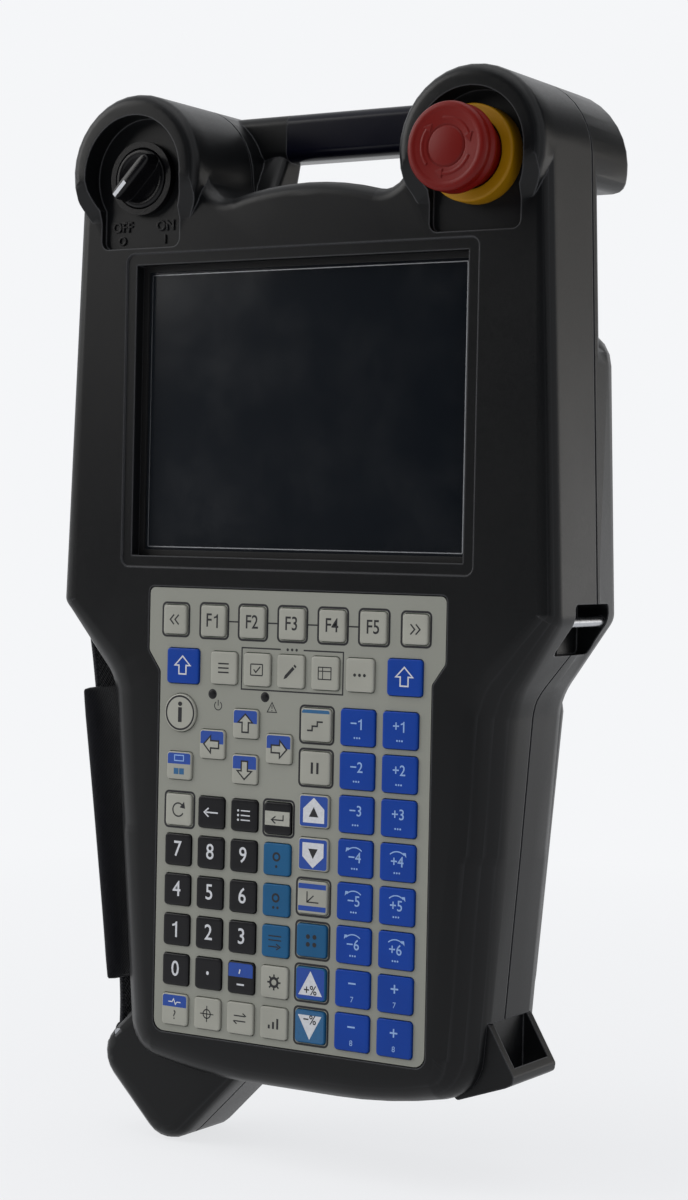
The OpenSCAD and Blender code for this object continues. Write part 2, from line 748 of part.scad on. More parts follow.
module case_screws() place(steel_c) {
    for (p = screw_at, side = [-1, 1]) difference() {
        union() {
            rod(side * p[0], p[1], screw_head_r, screw_seat(p), screw_seat(p) + 1.9);
            rod(side * p[0], p[1], screw_r, 9, screw_seat(p) + 1);
        }
        rod(side * p[0], p[1], 1.3, screw_seat(p) + 0.7, screw_seat(p) + 3, $fn = 6);
    }
}

module hanging_bar() place(black_c) translate([0, bar_y, bar_z]) {
    bar_section(bar_len);
    rotate([0, 90, 0]) cylinder(r = spigot_r, h = bar_len + 2 * spigot_len, center = true);
}

// ---- screen -------------------------------------------------------------

glass_y = gasket_d + gasket_t;

module window_gasket() place(black_c) {
    translate([win_x, 0, win_z + win_h / 2]) slab(gasket_d, glass_y) difference() {
        square([win_w + 5, win_h + 5], center = true);
        square([win_w - 2 * gasket_lip, win_h - 2 * gasket_lip], center = true);
    }
}

module touch_glass() place("#2b3036") {
    translate([win_x, 0, win_z + win_h / 2]) slab(glass_y, glass_y + glass_t)
        round_rect(win_w + 5, win_h + 5, 1.5);
}

module lcd_panel() place(steel_c) {
    y0 = glass_y + glass_t;
    translate([win_x, 0, win_z + win_h / 2]) difference() {
        slab(y0, y0 + lcd_t) round_rect(win_w + 12, win_h + 2, 2);
        for (sx = [-1, 1], sz = [-1, 1]) translate([sx * (win_w / 2 + 3), 0, sz * (win_h / 2 - 4)])
            rod(0, 0, 1.3, y0 - 1, y0 + lcd_t + 1);
    }
}

module main_board() place(board_c) {
    slab(board_y, board_y + 1.6) difference() {
        union() {
            translate([-64, 186]) square([128, 74]);
            translate([-62, 34]) square([124, 96]);
            translate([-30, 22]) square([60, 170]);
        }
        for (p = screw_at, side = [-1, 1])
            translate([side * p[0], p[1]]) circle(boss_r + 1.5, $fn = 32);
    }
    for (c = [[-30, 222, 24, 24, 2.4], [16, 216, 18, 18, 2], [24, 244, 30, 8, 3],
            [0, 90, 20, 14, 2], [-12, 150, 12, 12, 1.6]])
        slab(board_y - c[4], board_y + eps) translate([c[0], c[1]])
            square([c[2], c[3]], center = true);
}

// ---- keypad -------------------------------------------------------------

num_x = -45.2;
num_z = 93;
jog_x = 26.9;
jog_z = 125.5;
mid_x = 10.5;
fun_z = 159;
menu_z = 143;
arrow_c = [-17.9, 116.5];
shift_x = sheet_low_w / 2 - shift_key[0] / 2 - 3.25;

function num_at(c, r) = concat([num_x + c * num_px, num_z - r * num_pz], num_key);
function jog_at(c, r) = concat([jog_x + c * jog_px, jog_z - r * jog_pz], jog_key);
function mid_at(r) = [concat([mid_x, jog_z - r * jog_pz], mid_key)];
function arrow_at(x, z) = [concat(arrow_c + [x, z], arrow_key)];
function num_row(r) = [for (c = [0:3]) num_at(c, r)];
function jog_row(r) = [for (c = [0, 1]) jog_at(c, r)];

info_key = [-45.3, 126.7, 2 * info_r, 2 * info_r];
function_row = concat([for (i = [-2:2]) concat([i * fun_px, fun_z], fun_key)],
    [for (s = [-1, 1]) [s * 3 * fun_px, fun_z, fun_key[0] - 0.6, fun_key[1] - 0.6]]);
menu_row = [for (i = [-2:2]) concat([i * num_px, menu_z], [10.8, 11.2])];
display_key = [[-45.3, 108.3, 10.4, 9.6]];
all_keys = concat([for (r = [0:5]) each num_row(r)], [for (r = [0:7]) each jog_row(r)],
    [for (r = [0:7]) each mid_at(r)], function_row, menu_row, display_key,
    arrow_at(0, 7.8), arrow_at(0, -7.8), arrow_at(-num_px, 0), arrow_at(num_px, 0),
    [for (s = [-1, 1]) concat([s * shift_x, menu_z], shift_key)]);
led_at = [[-32.3, 133.8], [-10.6, 133.8]];
led_r = 1.4;

module key_sheet() place(light_c) {
    slab(sheet_d - sheet_t, sheet_d) difference() {
        sheet_outline();
        for (k = all_keys) translate([k[0], k[1]])
            round_rect(k[2] + 2 * key_gap, k[3] + 2 * key_gap, key_r + key_gap);
        translate([info_key[0], info_key[1]]) circle(info_r + key_gap, $fn = 64);
        for (p = led_at) translate(p) circle(led_r + 0.1, $fn = 32);
    }
}

flange_y = sheet_d + flange_play;

// A group of keys: caps through the sheet on flanges behind it
module keys(list, c) place(c) {
    for (k = list) translate([k[0], 0, k[1]]) {
        slab(-key_up, flange_y + eps) round_rect(k[2], k[3], key_r);
        slab(flange_y, flange_y + flange_t)
            round_rect(k[2] + 2 * flange_w, k[3] + 2 * flange_w, key_r + flange_w);
    }
}

module key_display() keys(display_key, light_c);
module key_up_arrow() keys(arrow_at(0, 7.8), light_c);
module key_left_arrow() keys(arrow_at(-num_px, 0), light_c);
module key_right_arrow() keys(arrow_at(num_px, 0), light_c);
module key_down_arrow() keys(arrow_at(0, -7.8), light_c);
module key_shift_left() keys([concat([-shift_x, menu_z], shift_key)], blue_c);
module key_shift_right() keys([concat([shift_x, menu_z], shift_key)], blue_c);
module key_step() keys(mid_at(0), light_c);
module key_hold() keys(mid_at(1), light_c);
module key_forward() keys(mid_at(2), light_c);
module key_backward() keys(mid_at(3), light_c);
module key_frame() keys(mid_at(4), light_c);
module key_group() keys(mid_at(5), teal_c);
module key_faster() keys(mid_at(6), teal_c);
module key_slower() keys(mid_at(7), teal_c);
module keys_function() keys(function_row, light_c);
module keys_menu() keys(menu_row, light_c);
module keys_edit() keys(num_row(0), dark_c);
module keys_789() keys(num_row(1), dark_c);
module keys_456() keys(num_row(2), dark_c);
module keys_123() keys(num_row(3), dark_c);
module keys_0() keys(num_row(4), dark_c);
module keys_help() keys(num_row(5), light_c);
module keys_jog_1() keys(jog_row(0), blue_c);
module keys_jog_2() keys(jog_row(1), blue_c);
module keys_jog_3() keys(jog_row(2), blue_c);
module keys_jog_4() keys(jog_row(3), blue_c);
module keys_jog_5() keys(jog_row(4), blue_c);
module keys_jog_6() keys(jog_row(5), blue_c);
module keys_jog_7() keys(jog_row(6), blue_c);
module keys_jog_8() keys(jog_row(7), blue_c);

module key_info() place(light_c) {
    rod(info_key[0], info_key[1], info_r, -key_up, flange_y + eps);
    rod(info_key[0], info_key[1], info_r + flange_w, flange_y, flange_y + flange_t);
}

module key_board() place(board_c) {
    slab(wall, wall + key_board_t) translate([0, (sheet_top + sheet_bottom) / 2])
        square([sheet_low_w - 1, sheet_top - sheet_bottom - 1], center = true);
    for (p = led_at) rod(p[0], p[1], led_r, 0.1 + sheet_d - sheet_t, wall + eps);
}

// ---- emergency stop -----------------------------------------------------

module stop_axis() {
    translate([ear_x, 0, control_z]) rotate([-90, 0, 0]) children();
}

rim_edge = 1.6;
skirt_back = pocket_d - 1.5 - stop_travel;

module estop_head() place("#a51e1e") stop_axis() {
    rotate_extrude($fn = 96) difference() {
        union() {
            translate([0, -stop_up]) square([stop_r - rim_edge, stop_rim]);
            translate([0, -stop_up + rim_edge]) square([stop_r, stop_rim - 2 * rim_edge]);
            for (y = [-stop_up + rim_edge, -stop_up + stop_rim - rim_edge])
                translate([stop_r - rim_edge, y]) circle(rim_edge, $fn = 32);
            translate([0, -stop_up + stop_rim - eps])
                square([skirt_r, stop_up - stop_rim + skirt_back]);
        }
        translate([-eps, -stop_up + 3]) square([stem_r + shaft_fit + eps, stop_up]);
        translate([0, -stop_up + stop_rim + 1]) square([barrel_r + 1.4, stop_up]);
        translate([6.2, -stop_up - 0.5]) square([0.7, 0.9]);
    }
}

stem_foot_y = 12.3;

module estop_stem() place(steel_c) stop_axis() {
    translate([0, 0, -stop_up + 3.2]) cylinder(r = stem_r, h = stop_up - 3.2 + stem_foot_y + 2);
    translate([0, 0, stem_foot_y]) cylinder(r = stem_r + 1.5, h = 2);
}

module estop_ring() place("#d9a514") stop_axis() {
    rotate_extrude($fn = 96) {
        translate([skirt_r + 0.6, pocket_d - ring_t]) square([ring_r - skirt_r - 1.6, ring_t]);
        translate([skirt_r + 0.6, pocket_d - ring_t + 1]) square([ring_r - skirt_r - 0.6, ring_t - 1]);
        translate([ring_r - 1, pocket_d - ring_t + 1]) circle(1, $fn = 24);
    }
}

floor_y = pocket_d + 2.5;
block_len = 24;

module estop_block() place(dark_c) stop_axis() {
    difference() {
        union() {
            cylinder(r = barrel_r, h = floor_y + eps);
            translate([0, 0, floor_y + block_len / 2]) cube([30, 30, block_len], center = true);
        }
        translate([0, 0, -1]) cylinder(r = stem_r + shaft_fit, h = through);
        translate([0, 0, stem_foot_y - 0.3]) cylinder(r = stem_r + 2.4, h = through);
    }
}

// ---- selector -----------------------------------------------------------

module selector_axis() {
    translate([-ear_x, 0, control_z]) rotate([-90, 0, 0]) children();
}

knob_back = pocket_d - 0.3;
knob_top = -1.2;
off_turn = 45;

module selector_knob() place(dark_c) selector_axis() {
    rotate_extrude($fn = 96) {
        translate([0, knob_top]) square([knob_r - 1, knob_back - knob_top]);
        translate([0, knob_top + 1]) square([knob_r, knob_back - knob_top - 1]);
        translate([knob_r - 1, knob_top + 1]) circle(1, $fn = 24);
    }
    rotate([0, 0, off_turn]) intersection() {
        translate([0, 0, (knob_top - ridge_up) / 2])
            cube([ridge_w, 3 * knob_r, ridge_up + knob_top + eps], center = true);
        translate([0, 0, -ridge_up]) cylinder(r = knob_r - 0.4, h = ridge_up, $fn = 96);
    }
    translate([0, 0, knob_back - eps]) cylinder(r = knob_stem_r, h = 12);
}

module selector_collar() place(black_c) selector_axis() {
    translate([0, 0, -0.4]) difference() {
        cylinder(r = knob_r + 0.3 + collar_w, h = pocket_d + 0.4, $fn = 96);
        translate([0, 0, -1]) cylinder(r = knob_r + 0.3, h = 5, $fn = 96);
    }
}

module selector_block() place(dark_c) selector_axis() {
    difference() {
        union() {
            translate([0, 0, pocket_d]) cylinder(r = barrel_r, h = 3);
            translate([0, 0, floor_y + 10]) cube([26, 26, 20], center = true);
        }
        translate([0, 0, 0]) cylinder(r = knob_stem_r + shaft_fit, h = knob_back + 12.6);
    }
}

// ---- enabling levers ----------------------------------------------------

module lever(side) place("#2c2d30") {
    difference() {
        union() {
            hull() for (z = [lever_bottom + 4, lever_top - 4], x = [-1, 1]) {
                translate([side * lever_x + x * (lever_w / 2 - 4), rear_back + lever_up - 4, z])
                    sphere(4, $fn = 24);
                translate([side * lever_x + x * (lever_w / 2 - 4), pivot_y - 2, z])
                    rotate([-90, 0, 0]) cylinder(r = 4, h = 1, $fn = 24);
            }
            translate([side * lever_x - 4, board_y + 13, 68]) cube([8, 8, 8]);
        }
        translate([side * lever_x, pivot_y, pivot_z]) rotate([0, 90, 0])
            cylinder(r = pivot_r + shaft_fit, h = lever_w + 2, center = true);
    }
}

module enable_lever_left() lever(-1);

module enable_lever_right() lever(1);

module enable_switches() place(black_c) {
    for (side = [-1, 1]) {
        translate([side * lever_x - 7, board_y + 1.6, 60]) cube([14, 5, 24]);
        translate([side * lever_x - 3, board_y + 6.6 - eps, 68]) cube([6, 1, 8]);
    }
}

module lever_pins() place(steel_c) {
    for (side = [-1, 1]) translate([side * lever_x, pivot_y, pivot_z]) rotate([0, 90, 0])
        cylinder(r = pivot_r, h = lever_w + 2 * (lever_gap + pivot_ear_t), center = true);
}

// ---- strap --------------------------------------------------------------

// Middle line of the webbing, from the waist pin down to the leg pin
web_path = [[-waist_pin_x - 3.4, waist_pin_z - 1], [-waist_pin_x - 2.5, shoulder_z - 11],
    [-waist_pin_x - 0.1, waist_z + 1], [-grip_mid_w / 2 - 10.3, 80],
    [-foot_w / 2 - 11.5, sleeve_z0], [-foot_w / 2 - 11.8, leg_pin[1] + 6]];

// Sideways place of the webbing's middle line at height z
function web_x(z) = lookup(z, [for (p = web_path) [p[1], p[0]]]);

module band(path, t, w) {
    side = [for (i = [0:len(path) - 1])
        let (a = path[max(i - 1, 0)], b = path[min(i + 1, len(path) - 1)], d = (b - a) / norm(b - a))
        [d[1], -d[0]] * t / 2];
    slab(strap_y - w / 2, strap_y + w / 2) polygon(concat(
        [for (i = [0:len(path) - 1]) path[i] + side[i]],
        [for (i = [len(path) - 1:-1:0]) path[i] - side[i]]));
}

module strap_webbing() place(black_c) {
    difference() {
        union() {
            band(web_path, web_t, web_w);
            rod(-waist_pin_x, waist_pin_z, strap_pin_r + 0.3 + web_t,
                strap_y - web_w / 2, strap_y + web_w / 2, $fn = 48);
            rod(leg_pin[0], leg_pin[1], strap_pin_r + 0.3 + web_t,
                strap_y - web_w / 2, strap_y + web_w / 2, $fn = 48);
        }
        rod(-waist_pin_x, waist_pin_z, strap_pin_r + 0.3, 0, through, $fn = 48);
        rod(leg_pin[0], leg_pin[1], strap_pin_r + 0.3, 0, through, $fn = 48);
    }
}

module strap_sleeve() place("#151517") {
    difference() {
        band([for (z = [sleeve_z1, 80, sleeve_z0]) [web_x(z), z]], sleeve_t, sleeve_w);
        band(web_path, web_t + 0.4, web_w + 0.6);
    }
}

module strap_pins() place(steel_c) {
    for (side = [-1, 1]) rod(side * waist_pin_x, waist_pin_z, strap_pin_r,
        strap_y - slot_w / 2 - 2.8, strap_y + slot_w / 2 + 2.8);
    rod(leg_pin[0], leg_pin[1], strap_pin_r, strap_y + 1 - slot_w / 2 - 2.3,
        strap_y + 1 + slot_w / 2 + 2.3);
}

module strap_loop() place("#2a2a2c") {
    difference() {
        slab(loop_y0, loop_y1) offset(r = 1.5, $fn = 24) offset(delta = -1.5) loop_side();
        slab(loop_y0 + loop_t, loop_y1 - loop_t) polygon([[foot_w / 2 + 1.5, 45],
            loop_tip + [8, 32], loop_tip + [2.9, 6.1], loop_tip + [-3.3, 2.1],
            loop_tip + [-3.3, -22], [foot_w / 2 + 1.5, -10]]);
    }
}

// ---- cable socket -------------------------------------------------------

module cable_socket() place(steel_c) leg_frame() rotate([0, 90, 0]) {
    difference() {
        union() {
            cylinder(r = socket_flange, h = 1.5);
            cylinder(r = socket_r + socket_wall, h = socket_d + 10);
        }
        translate([0, 0, -1]) cylinder(r = socket_r, h = socket_d + 1);
        cylinder(r = socket_r - 1.6, h = through);
    }
}

module cable_insert() place(black_c) leg_frame() rotate([0, 90, 0]) {
    difference() {
        translate([0, 0, socket_d]) cylinder(r = socket_r - 1.7, h = 8);
        for (i = [0:7]) rotate([0, 0, i * 45]) translate([4.9, 0, socket_d - 1])
            cylinder(r = 0.6, h = 5, $fn = 16);
    }
}

// ---- drawing ------------------------------------------------------------

front_case();
rear_case();
case_seal();
case_screws();
hanging_bar();
touch_glass();
window_gasket();
lcd_panel();
main_board();
key_sheet();
key_board();
estop_head();
estop_stem();
estop_ring();
estop_block();
selector_knob();
selector_collar();
selector_block();
enable_lever_left();
enable_lever_right();
enable_switches();
lever_pins();
strap_webbing();
strap_sleeve();
strap_pins();
strap_loop();
cable_socket();
cable_insert();
key_info();
key_display();
key_up_arrow();
key_left_arrow();
key_right_arrow();
key_down_arrow();
key_shift_left();
key_shift_right();
key_step();
key_hold();
key_forward();
key_backward();
key_frame();
key_group();
key_faster();
key_slower();
keys_function();
keys_menu();
keys_edit();
keys_789();
keys_456();
keys_123();
keys_0();
keys_help();
keys_jog_1();
keys_jog_2();
keys_jog_3();
keys_jog_4();
keys_jog_5();
keys_jog_6();
keys_jog_7();
keys_jog_8();
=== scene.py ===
import json
import math
import bpy
import bmesh
from mathutils import Matrix, Vector

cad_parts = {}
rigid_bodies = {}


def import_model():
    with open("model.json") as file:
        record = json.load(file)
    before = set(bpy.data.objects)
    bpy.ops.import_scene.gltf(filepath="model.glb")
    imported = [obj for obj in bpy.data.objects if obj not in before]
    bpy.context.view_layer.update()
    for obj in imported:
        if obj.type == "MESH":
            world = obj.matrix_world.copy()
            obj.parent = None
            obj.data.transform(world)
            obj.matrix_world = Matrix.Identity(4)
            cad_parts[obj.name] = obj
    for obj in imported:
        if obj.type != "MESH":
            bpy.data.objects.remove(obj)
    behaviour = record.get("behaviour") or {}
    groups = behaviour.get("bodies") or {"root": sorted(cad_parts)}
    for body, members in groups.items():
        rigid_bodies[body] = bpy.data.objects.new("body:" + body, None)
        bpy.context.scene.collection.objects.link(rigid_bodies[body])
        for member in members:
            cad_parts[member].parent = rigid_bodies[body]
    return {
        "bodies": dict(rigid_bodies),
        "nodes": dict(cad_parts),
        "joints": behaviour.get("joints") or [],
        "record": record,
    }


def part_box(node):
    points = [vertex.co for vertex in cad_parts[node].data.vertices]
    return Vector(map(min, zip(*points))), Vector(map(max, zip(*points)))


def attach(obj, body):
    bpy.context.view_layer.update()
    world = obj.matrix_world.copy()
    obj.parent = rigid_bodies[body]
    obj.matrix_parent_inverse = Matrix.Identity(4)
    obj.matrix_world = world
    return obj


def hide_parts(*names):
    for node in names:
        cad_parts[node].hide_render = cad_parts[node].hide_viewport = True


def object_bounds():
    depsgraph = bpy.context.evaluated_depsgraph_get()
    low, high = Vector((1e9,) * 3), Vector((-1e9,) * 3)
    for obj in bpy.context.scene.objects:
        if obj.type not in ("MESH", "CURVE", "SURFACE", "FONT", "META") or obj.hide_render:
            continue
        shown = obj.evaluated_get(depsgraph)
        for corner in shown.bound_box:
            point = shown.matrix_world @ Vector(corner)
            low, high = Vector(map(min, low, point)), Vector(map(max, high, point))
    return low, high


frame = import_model()
cadLo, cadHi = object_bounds()
nodes = frame["nodes"]
mm = 0.001
centre = (cadLo + cadHi) / 2
print("frame loaded", len(nodes), "nodes")


# small helpers for node trees

def newGroup(name, ins, outs):  # float sockets: ins as name and default, outs as names
    g = bpy.data.node_groups.new(name, "ShaderNodeTree")
    for label, value in ins.items():
        g.interface.new_socket(label, in_out="INPUT", socket_type="NodeSocketFloat").default_value = value
    for label in outs:
        g.interface.new_socket(label, in_out="OUTPUT", socket_type="NodeSocketFloat")
    return g, g.nodes.new("NodeGroupInput"), g.nodes.new("NodeGroupOutput")


def put(tree, kind, **values):  # adds a node and sets what is named
    n = tree.nodes.new(kind)
    for key, value in values.items():
        if hasattr(n, key):
            setattr(n, key, value)
        else:
            n.inputs[key.replace("_", " ")].default_value = value
    return n


def objectPoint(tree):  # the shading point in metres, in the object's own space
    return put(tree, "ShaderNodeTexCoord").outputs["Object"]


def feed(tree, socket, value):  # links another socket, or sets a plain value
    if isinstance(value, bpy.types.NodeSocket):
        tree.links.new(value, socket)
    else:
        socket.default_value = value


def mix(tree, fac, a, b):  # colour a where fac is 0 and b where it is 1
    n = put(tree, "ShaderNodeMix", data_type="RGBA")
    for socket, value in ((0, fac), (6, a), (7, b)):  # the colour sockets are the 7th and 8th
        feed(tree, n.inputs[socket], value)
    return n.outputs[2]


def math2(tree, op, a, b=0.0, clamp=False):
    n = put(tree, "ShaderNodeMath", operation=op, use_clamp=clamp)
    feed(tree, n.inputs[0], a)
    feed(tree, n.inputs[1], b)
    return n.outputs[0]


def noise(tree, point, scale, detail=2.0, rough=0.5, twist=0.0):
    n = put(tree, "ShaderNodeTexNoise", Detail=detail, Roughness=rough, Distortion=twist)
    feed(tree, n.inputs["Scale"], scale)
    tree.links.new(point, n.inputs["Vector"])
    return n.outputs["Fac"]


def spread(tree, value, lo, hi, toLo=0.0, toHi=1.0):
    n = put(tree, "ShaderNodeMapRange")
    tree.links.new(value, n.inputs[0])
    for i, v in enumerate((lo, hi, toLo, toHi)):
        n.inputs[i + 1].default_value = v
    return n.outputs[0]


# effects that several finishes share

def makeGrain():  # spark-eroded mould texture: fine pits plus slow drift
    g, i, o = newGroup("mouldGrain", {"Grain": 1800.0, "Drift": 14.0}, ["Height", "Drift", "Fine"])
    p = objectPoint(g)
    fine, slow = noise(g, p, i.outputs["Grain"], 3.0, 0.65), noise(g, p, i.outputs["Drift"])
    g.links.new(fine, o.inputs["Height"])
    g.links.new(spread(g, slow, 0.3, 0.7), o.inputs["Drift"])
    g.links.new(spread(g, fine, 0.35, 0.65), o.inputs["Fine"])
    return g


def makeHandling():  # where hands polish the plastic, in broad soft patches
    g, i, o = newGroup("handling", {"Size": 22.0}, ["Mask"])
    broad = noise(g, objectPoint(g), i.outputs["Size"], 4.0, 0.55, 0.4)
    g.links.new(spread(g, broad, 0.42, 0.66), o.inputs["Mask"])
    return g


def makeDust():  # pale dust that settles on faces that look up, and thins out by itself
    g, i, o = newGroup("dust", {"Amount": 0.3}, ["Mask"])
    p = objectPoint(g)
    up = put(g, "ShaderNodeSeparateXYZ")
    geo = put(g, "ShaderNodeNewGeometry")
    g.links.new(geo.outputs["Normal"], up.inputs[0])
    patch = spread(g, noise(g, p, 260.0, 5.0, 0.7), 0.45, 0.75)
    m = math2(g, "MULTIPLY", spread(g, up.outputs["Z"], 0.2, 1.0), patch)
    m = math2(g, "MULTIPLY", m, i.outputs["Amount"])
    g.links.new(m, o.inputs["Mask"])
    return g


def makeWeave():  # a 2/2 twill of narrow tape: threads along local Z and across it
    g, i, o = newGroup("tapeWeave", {"Pitch": 900.0}, ["Height", "Thread"])
    p = objectPoint(g)
    s = put(g, "ShaderNodeSeparateXYZ")
    g.links.new(p, s.inputs[0])
    z = math2(g, "MULTIPLY", s.outputs["Z"], i.outputs["Pitch"])
    y = math2(g, "MULTIPLY", s.outputs["Y"], i.outputs["Pitch"])
    across = math2(g, "SINE", math2(g, "MULTIPLY", math2(g, "ADD", y, z), math.pi))
    along = math2(g, "SINE", math2(g, "MULTIPLY", math2(g, "SUBTRACT", y, z), math.pi / 2))
    h = math2(g, "MULTIPLY", math2(g, "ABSOLUTE", across), math2(g, "ADD", math2(g, "ABSOLUTE", along), 0.4))
    g.links.new(h, o.inputs["Height"])
    g.links.new(spread(g, noise(g, p, 700.0, 3.0), 0.3, 0.7), o.inputs["Thread"])
    return g


grain, handling, dust, weave = makeGrain(), makeHandling(), makeDust(), makeWeave()


def place(tree, group, **values):
    n = tree.nodes.new("ShaderNodeGroup")
    n.node_tree = group
    for key, value in values.items():
        n.inputs[key].default_value = value
    return n


def rgb(text):  # "#rrggbb" as a linear colour
    parts = [int(text[i:i + 2], 16) / 255 for i in (1, 3, 5)]
    return tuple(c / 12.92 if c <= 0.04045 else ((c + 0.055) / 1.055) ** 2.4 for c in parts) + (1.0,)


def surface(name, **plain):  # a material with its Principled shader, plain values set on its own sockets
    m = bpy.data.materials.new(name)
    m.use_nodes = True
    b = m.node_tree.nodes["Principled BSDF"]
    for key, value in plain.items():
        b.inputs[key.replace("_", " ")].default_value = value
    return m, m.node_tree, b


def bumpFrom(tree, b, height, distance, strength=1.0, edge=0.0):
    n = put(tree, "ShaderNodeBump", Strength=strength, Distance=distance)
    tree.links.new(height, n.inputs["Height"])
    if edge:
        soft = put(tree, "ShaderNodeBevel", samples=4, Radius=edge)
        tree.links.new(soft.outputs[0], n.inputs["Normal"])
    tree.links.new(n.outputs[0], b.inputs["Normal"])


def edgeMask(tree, radius):  # how far the surface turns within a short reach, 0 on flats
    soft = put(tree, "ShaderNodeBevel", samples=6, Radius=radius)
    flat = put(tree, "ShaderNodeNewGeometry")
    agree = put(tree, "ShaderNodeVectorMath", operation="DOT_PRODUCT")
    tree.links.new(soft.outputs[0], agree.inputs[0])
    tree.links.new(flat.outputs["True Normal"], agree.inputs[1])
    return spread(tree, agree.outputs["Value"], 0.99, 0.86)


def shade(colour, share, plus=0.0):  # a colour's darker or lighter neighbour
    return tuple(min(1, x * share + plus) for x in colour[:3]) + (1,)


# the edge tone and edge reach make a painted highlight along convex edges; the dust tone, grain roughness and drift are
# the plastic's own dust and grain
wearAndHighlight = {"edgeHighlightReach": 0.001, "edgeHighlightTone": "#6a6b6e", "dustTone": "#8d8a84", "grainRough": 0.03, "drift": 16.0}


def plastic(name, colour, lighter, rough, grainSize=1500.0, bump=0.00006, edge=0.0005,
            dusty=0.12, spec=0.4, edgeHighlight=0.0):
    m, t, b = surface(name, IOR=1.5, Specular_IOR_Level=spec)
    gr = place(t, grain, Grain=grainSize, Drift=wearAndHighlight["drift"])
    ha = place(t, handling)
    du = place(t, dust, Amount=dusty)
    base = mix(t, gr.outputs["Drift"], rgb(colour), rgb(lighter))
    base = mix(t, du.outputs["Mask"], base, rgb(wearAndHighlight["dustTone"]))
    if edgeHighlight:  # painted highlight: convex edges are mixed toward a lighter grey
        edgeHighlightMask = math2(t, "MULTIPLY", edgeMask(t, wearAndHighlight["edgeHighlightReach"]), edgeHighlight)
        base = mix(t, edgeHighlightMask, base, rgb(wearAndHighlight["edgeHighlightTone"]))
    t.links.new(base, b.inputs["Base Color"])
    vary = wearAndHighlight["grainRough"]
    r = spread(t, gr.outputs["Fine"], 0, 1, rough - vary, rough + vary)
    r = math2(t, "ADD", r, spread(t, ha.outputs["Mask"], 0, 1, 0.0, -vary))
    r = math2(t, "ADD", r, math2(t, "MULTIPLY", du.outputs["Mask"], 0.5), clamp=True)
    t.links.new(r, b.inputs["Roughness"])
    bumpFrom(t, b, gr.outputs["Height"], bump, 1.0, edge)
    return m


def metal(name, colour, rough, scale=(2200, 2200, 90)):  # turned or drawn metal with fine lines
    m, t, b = surface(name, Metallic=1.0)
    turn = put(t, "ShaderNodeMapping")
    turn.inputs["Scale"].default_value = scale
    t.links.new(objectPoint(t), turn.inputs["Vector"])
    lines = noise(t, turn.outputs[0], 1.0, 3.0, 0.6)
    t.links.new(mix(t, spread(t, lines, 0.35, 0.65), rgb(colour), shade(rgb(colour), 0.8)), b.inputs["Base Color"])
    t.links.new(spread(t, lines, 0.3, 0.7, rough - 0.06, rough + 0.08), b.inputs["Roughness"])
    bumpFrom(t, b, lines, 0.00003, 0.6, 0.0002)
    return m


def ink(name, colour, rough=0.5):  # screen-printed ink: even, with a slight mottle
    m, t, b = surface(name, IOR=1.45)
    n = noise(t, objectPoint(t), 900.0, 3.0, 0.6)
    c = rgb(colour)
    t.links.new(mix(t, spread(t, n, 0.35, 0.7), c, shade(c, 0.86, 0.004)), b.inputs["Base Color"])
    t.links.new(spread(t, n, 0.3, 0.7, rough - 0.05, rough + 0.07), b.inputs["Roughness"])
    bumpFrom(t, b, n, 0.00001, 0.5)
    return m


def keyPlastic(name, colour, rough=0.42, spec=0.35, coat=0.08):  # satin-coated key caps, each key a shade of its own
    m, t, b = surface(name, IOR=1.5, Specular_IOR_Level=spec, Coat_Weight=coat, Coat_Roughness=0.3)
    c = rgb(colour)
    base = mix(t, spread(t, noise(t, objectPoint(t), 60.0, 1.0), 0.3, 0.7), c, shade(c, 0.88))
    gr = place(t, grain, Grain=2400.0, Drift=40.0)
    t.links.new(base, b.inputs["Base Color"])
    t.links.new(spread(t, gr.outputs["Fine"], 0, 1, rough - 0.04, rough + 0.06), b.inputs["Roughness"])
    bumpFrom(t, b, gr.outputs["Height"], 0.00003, 0.7)
    return m


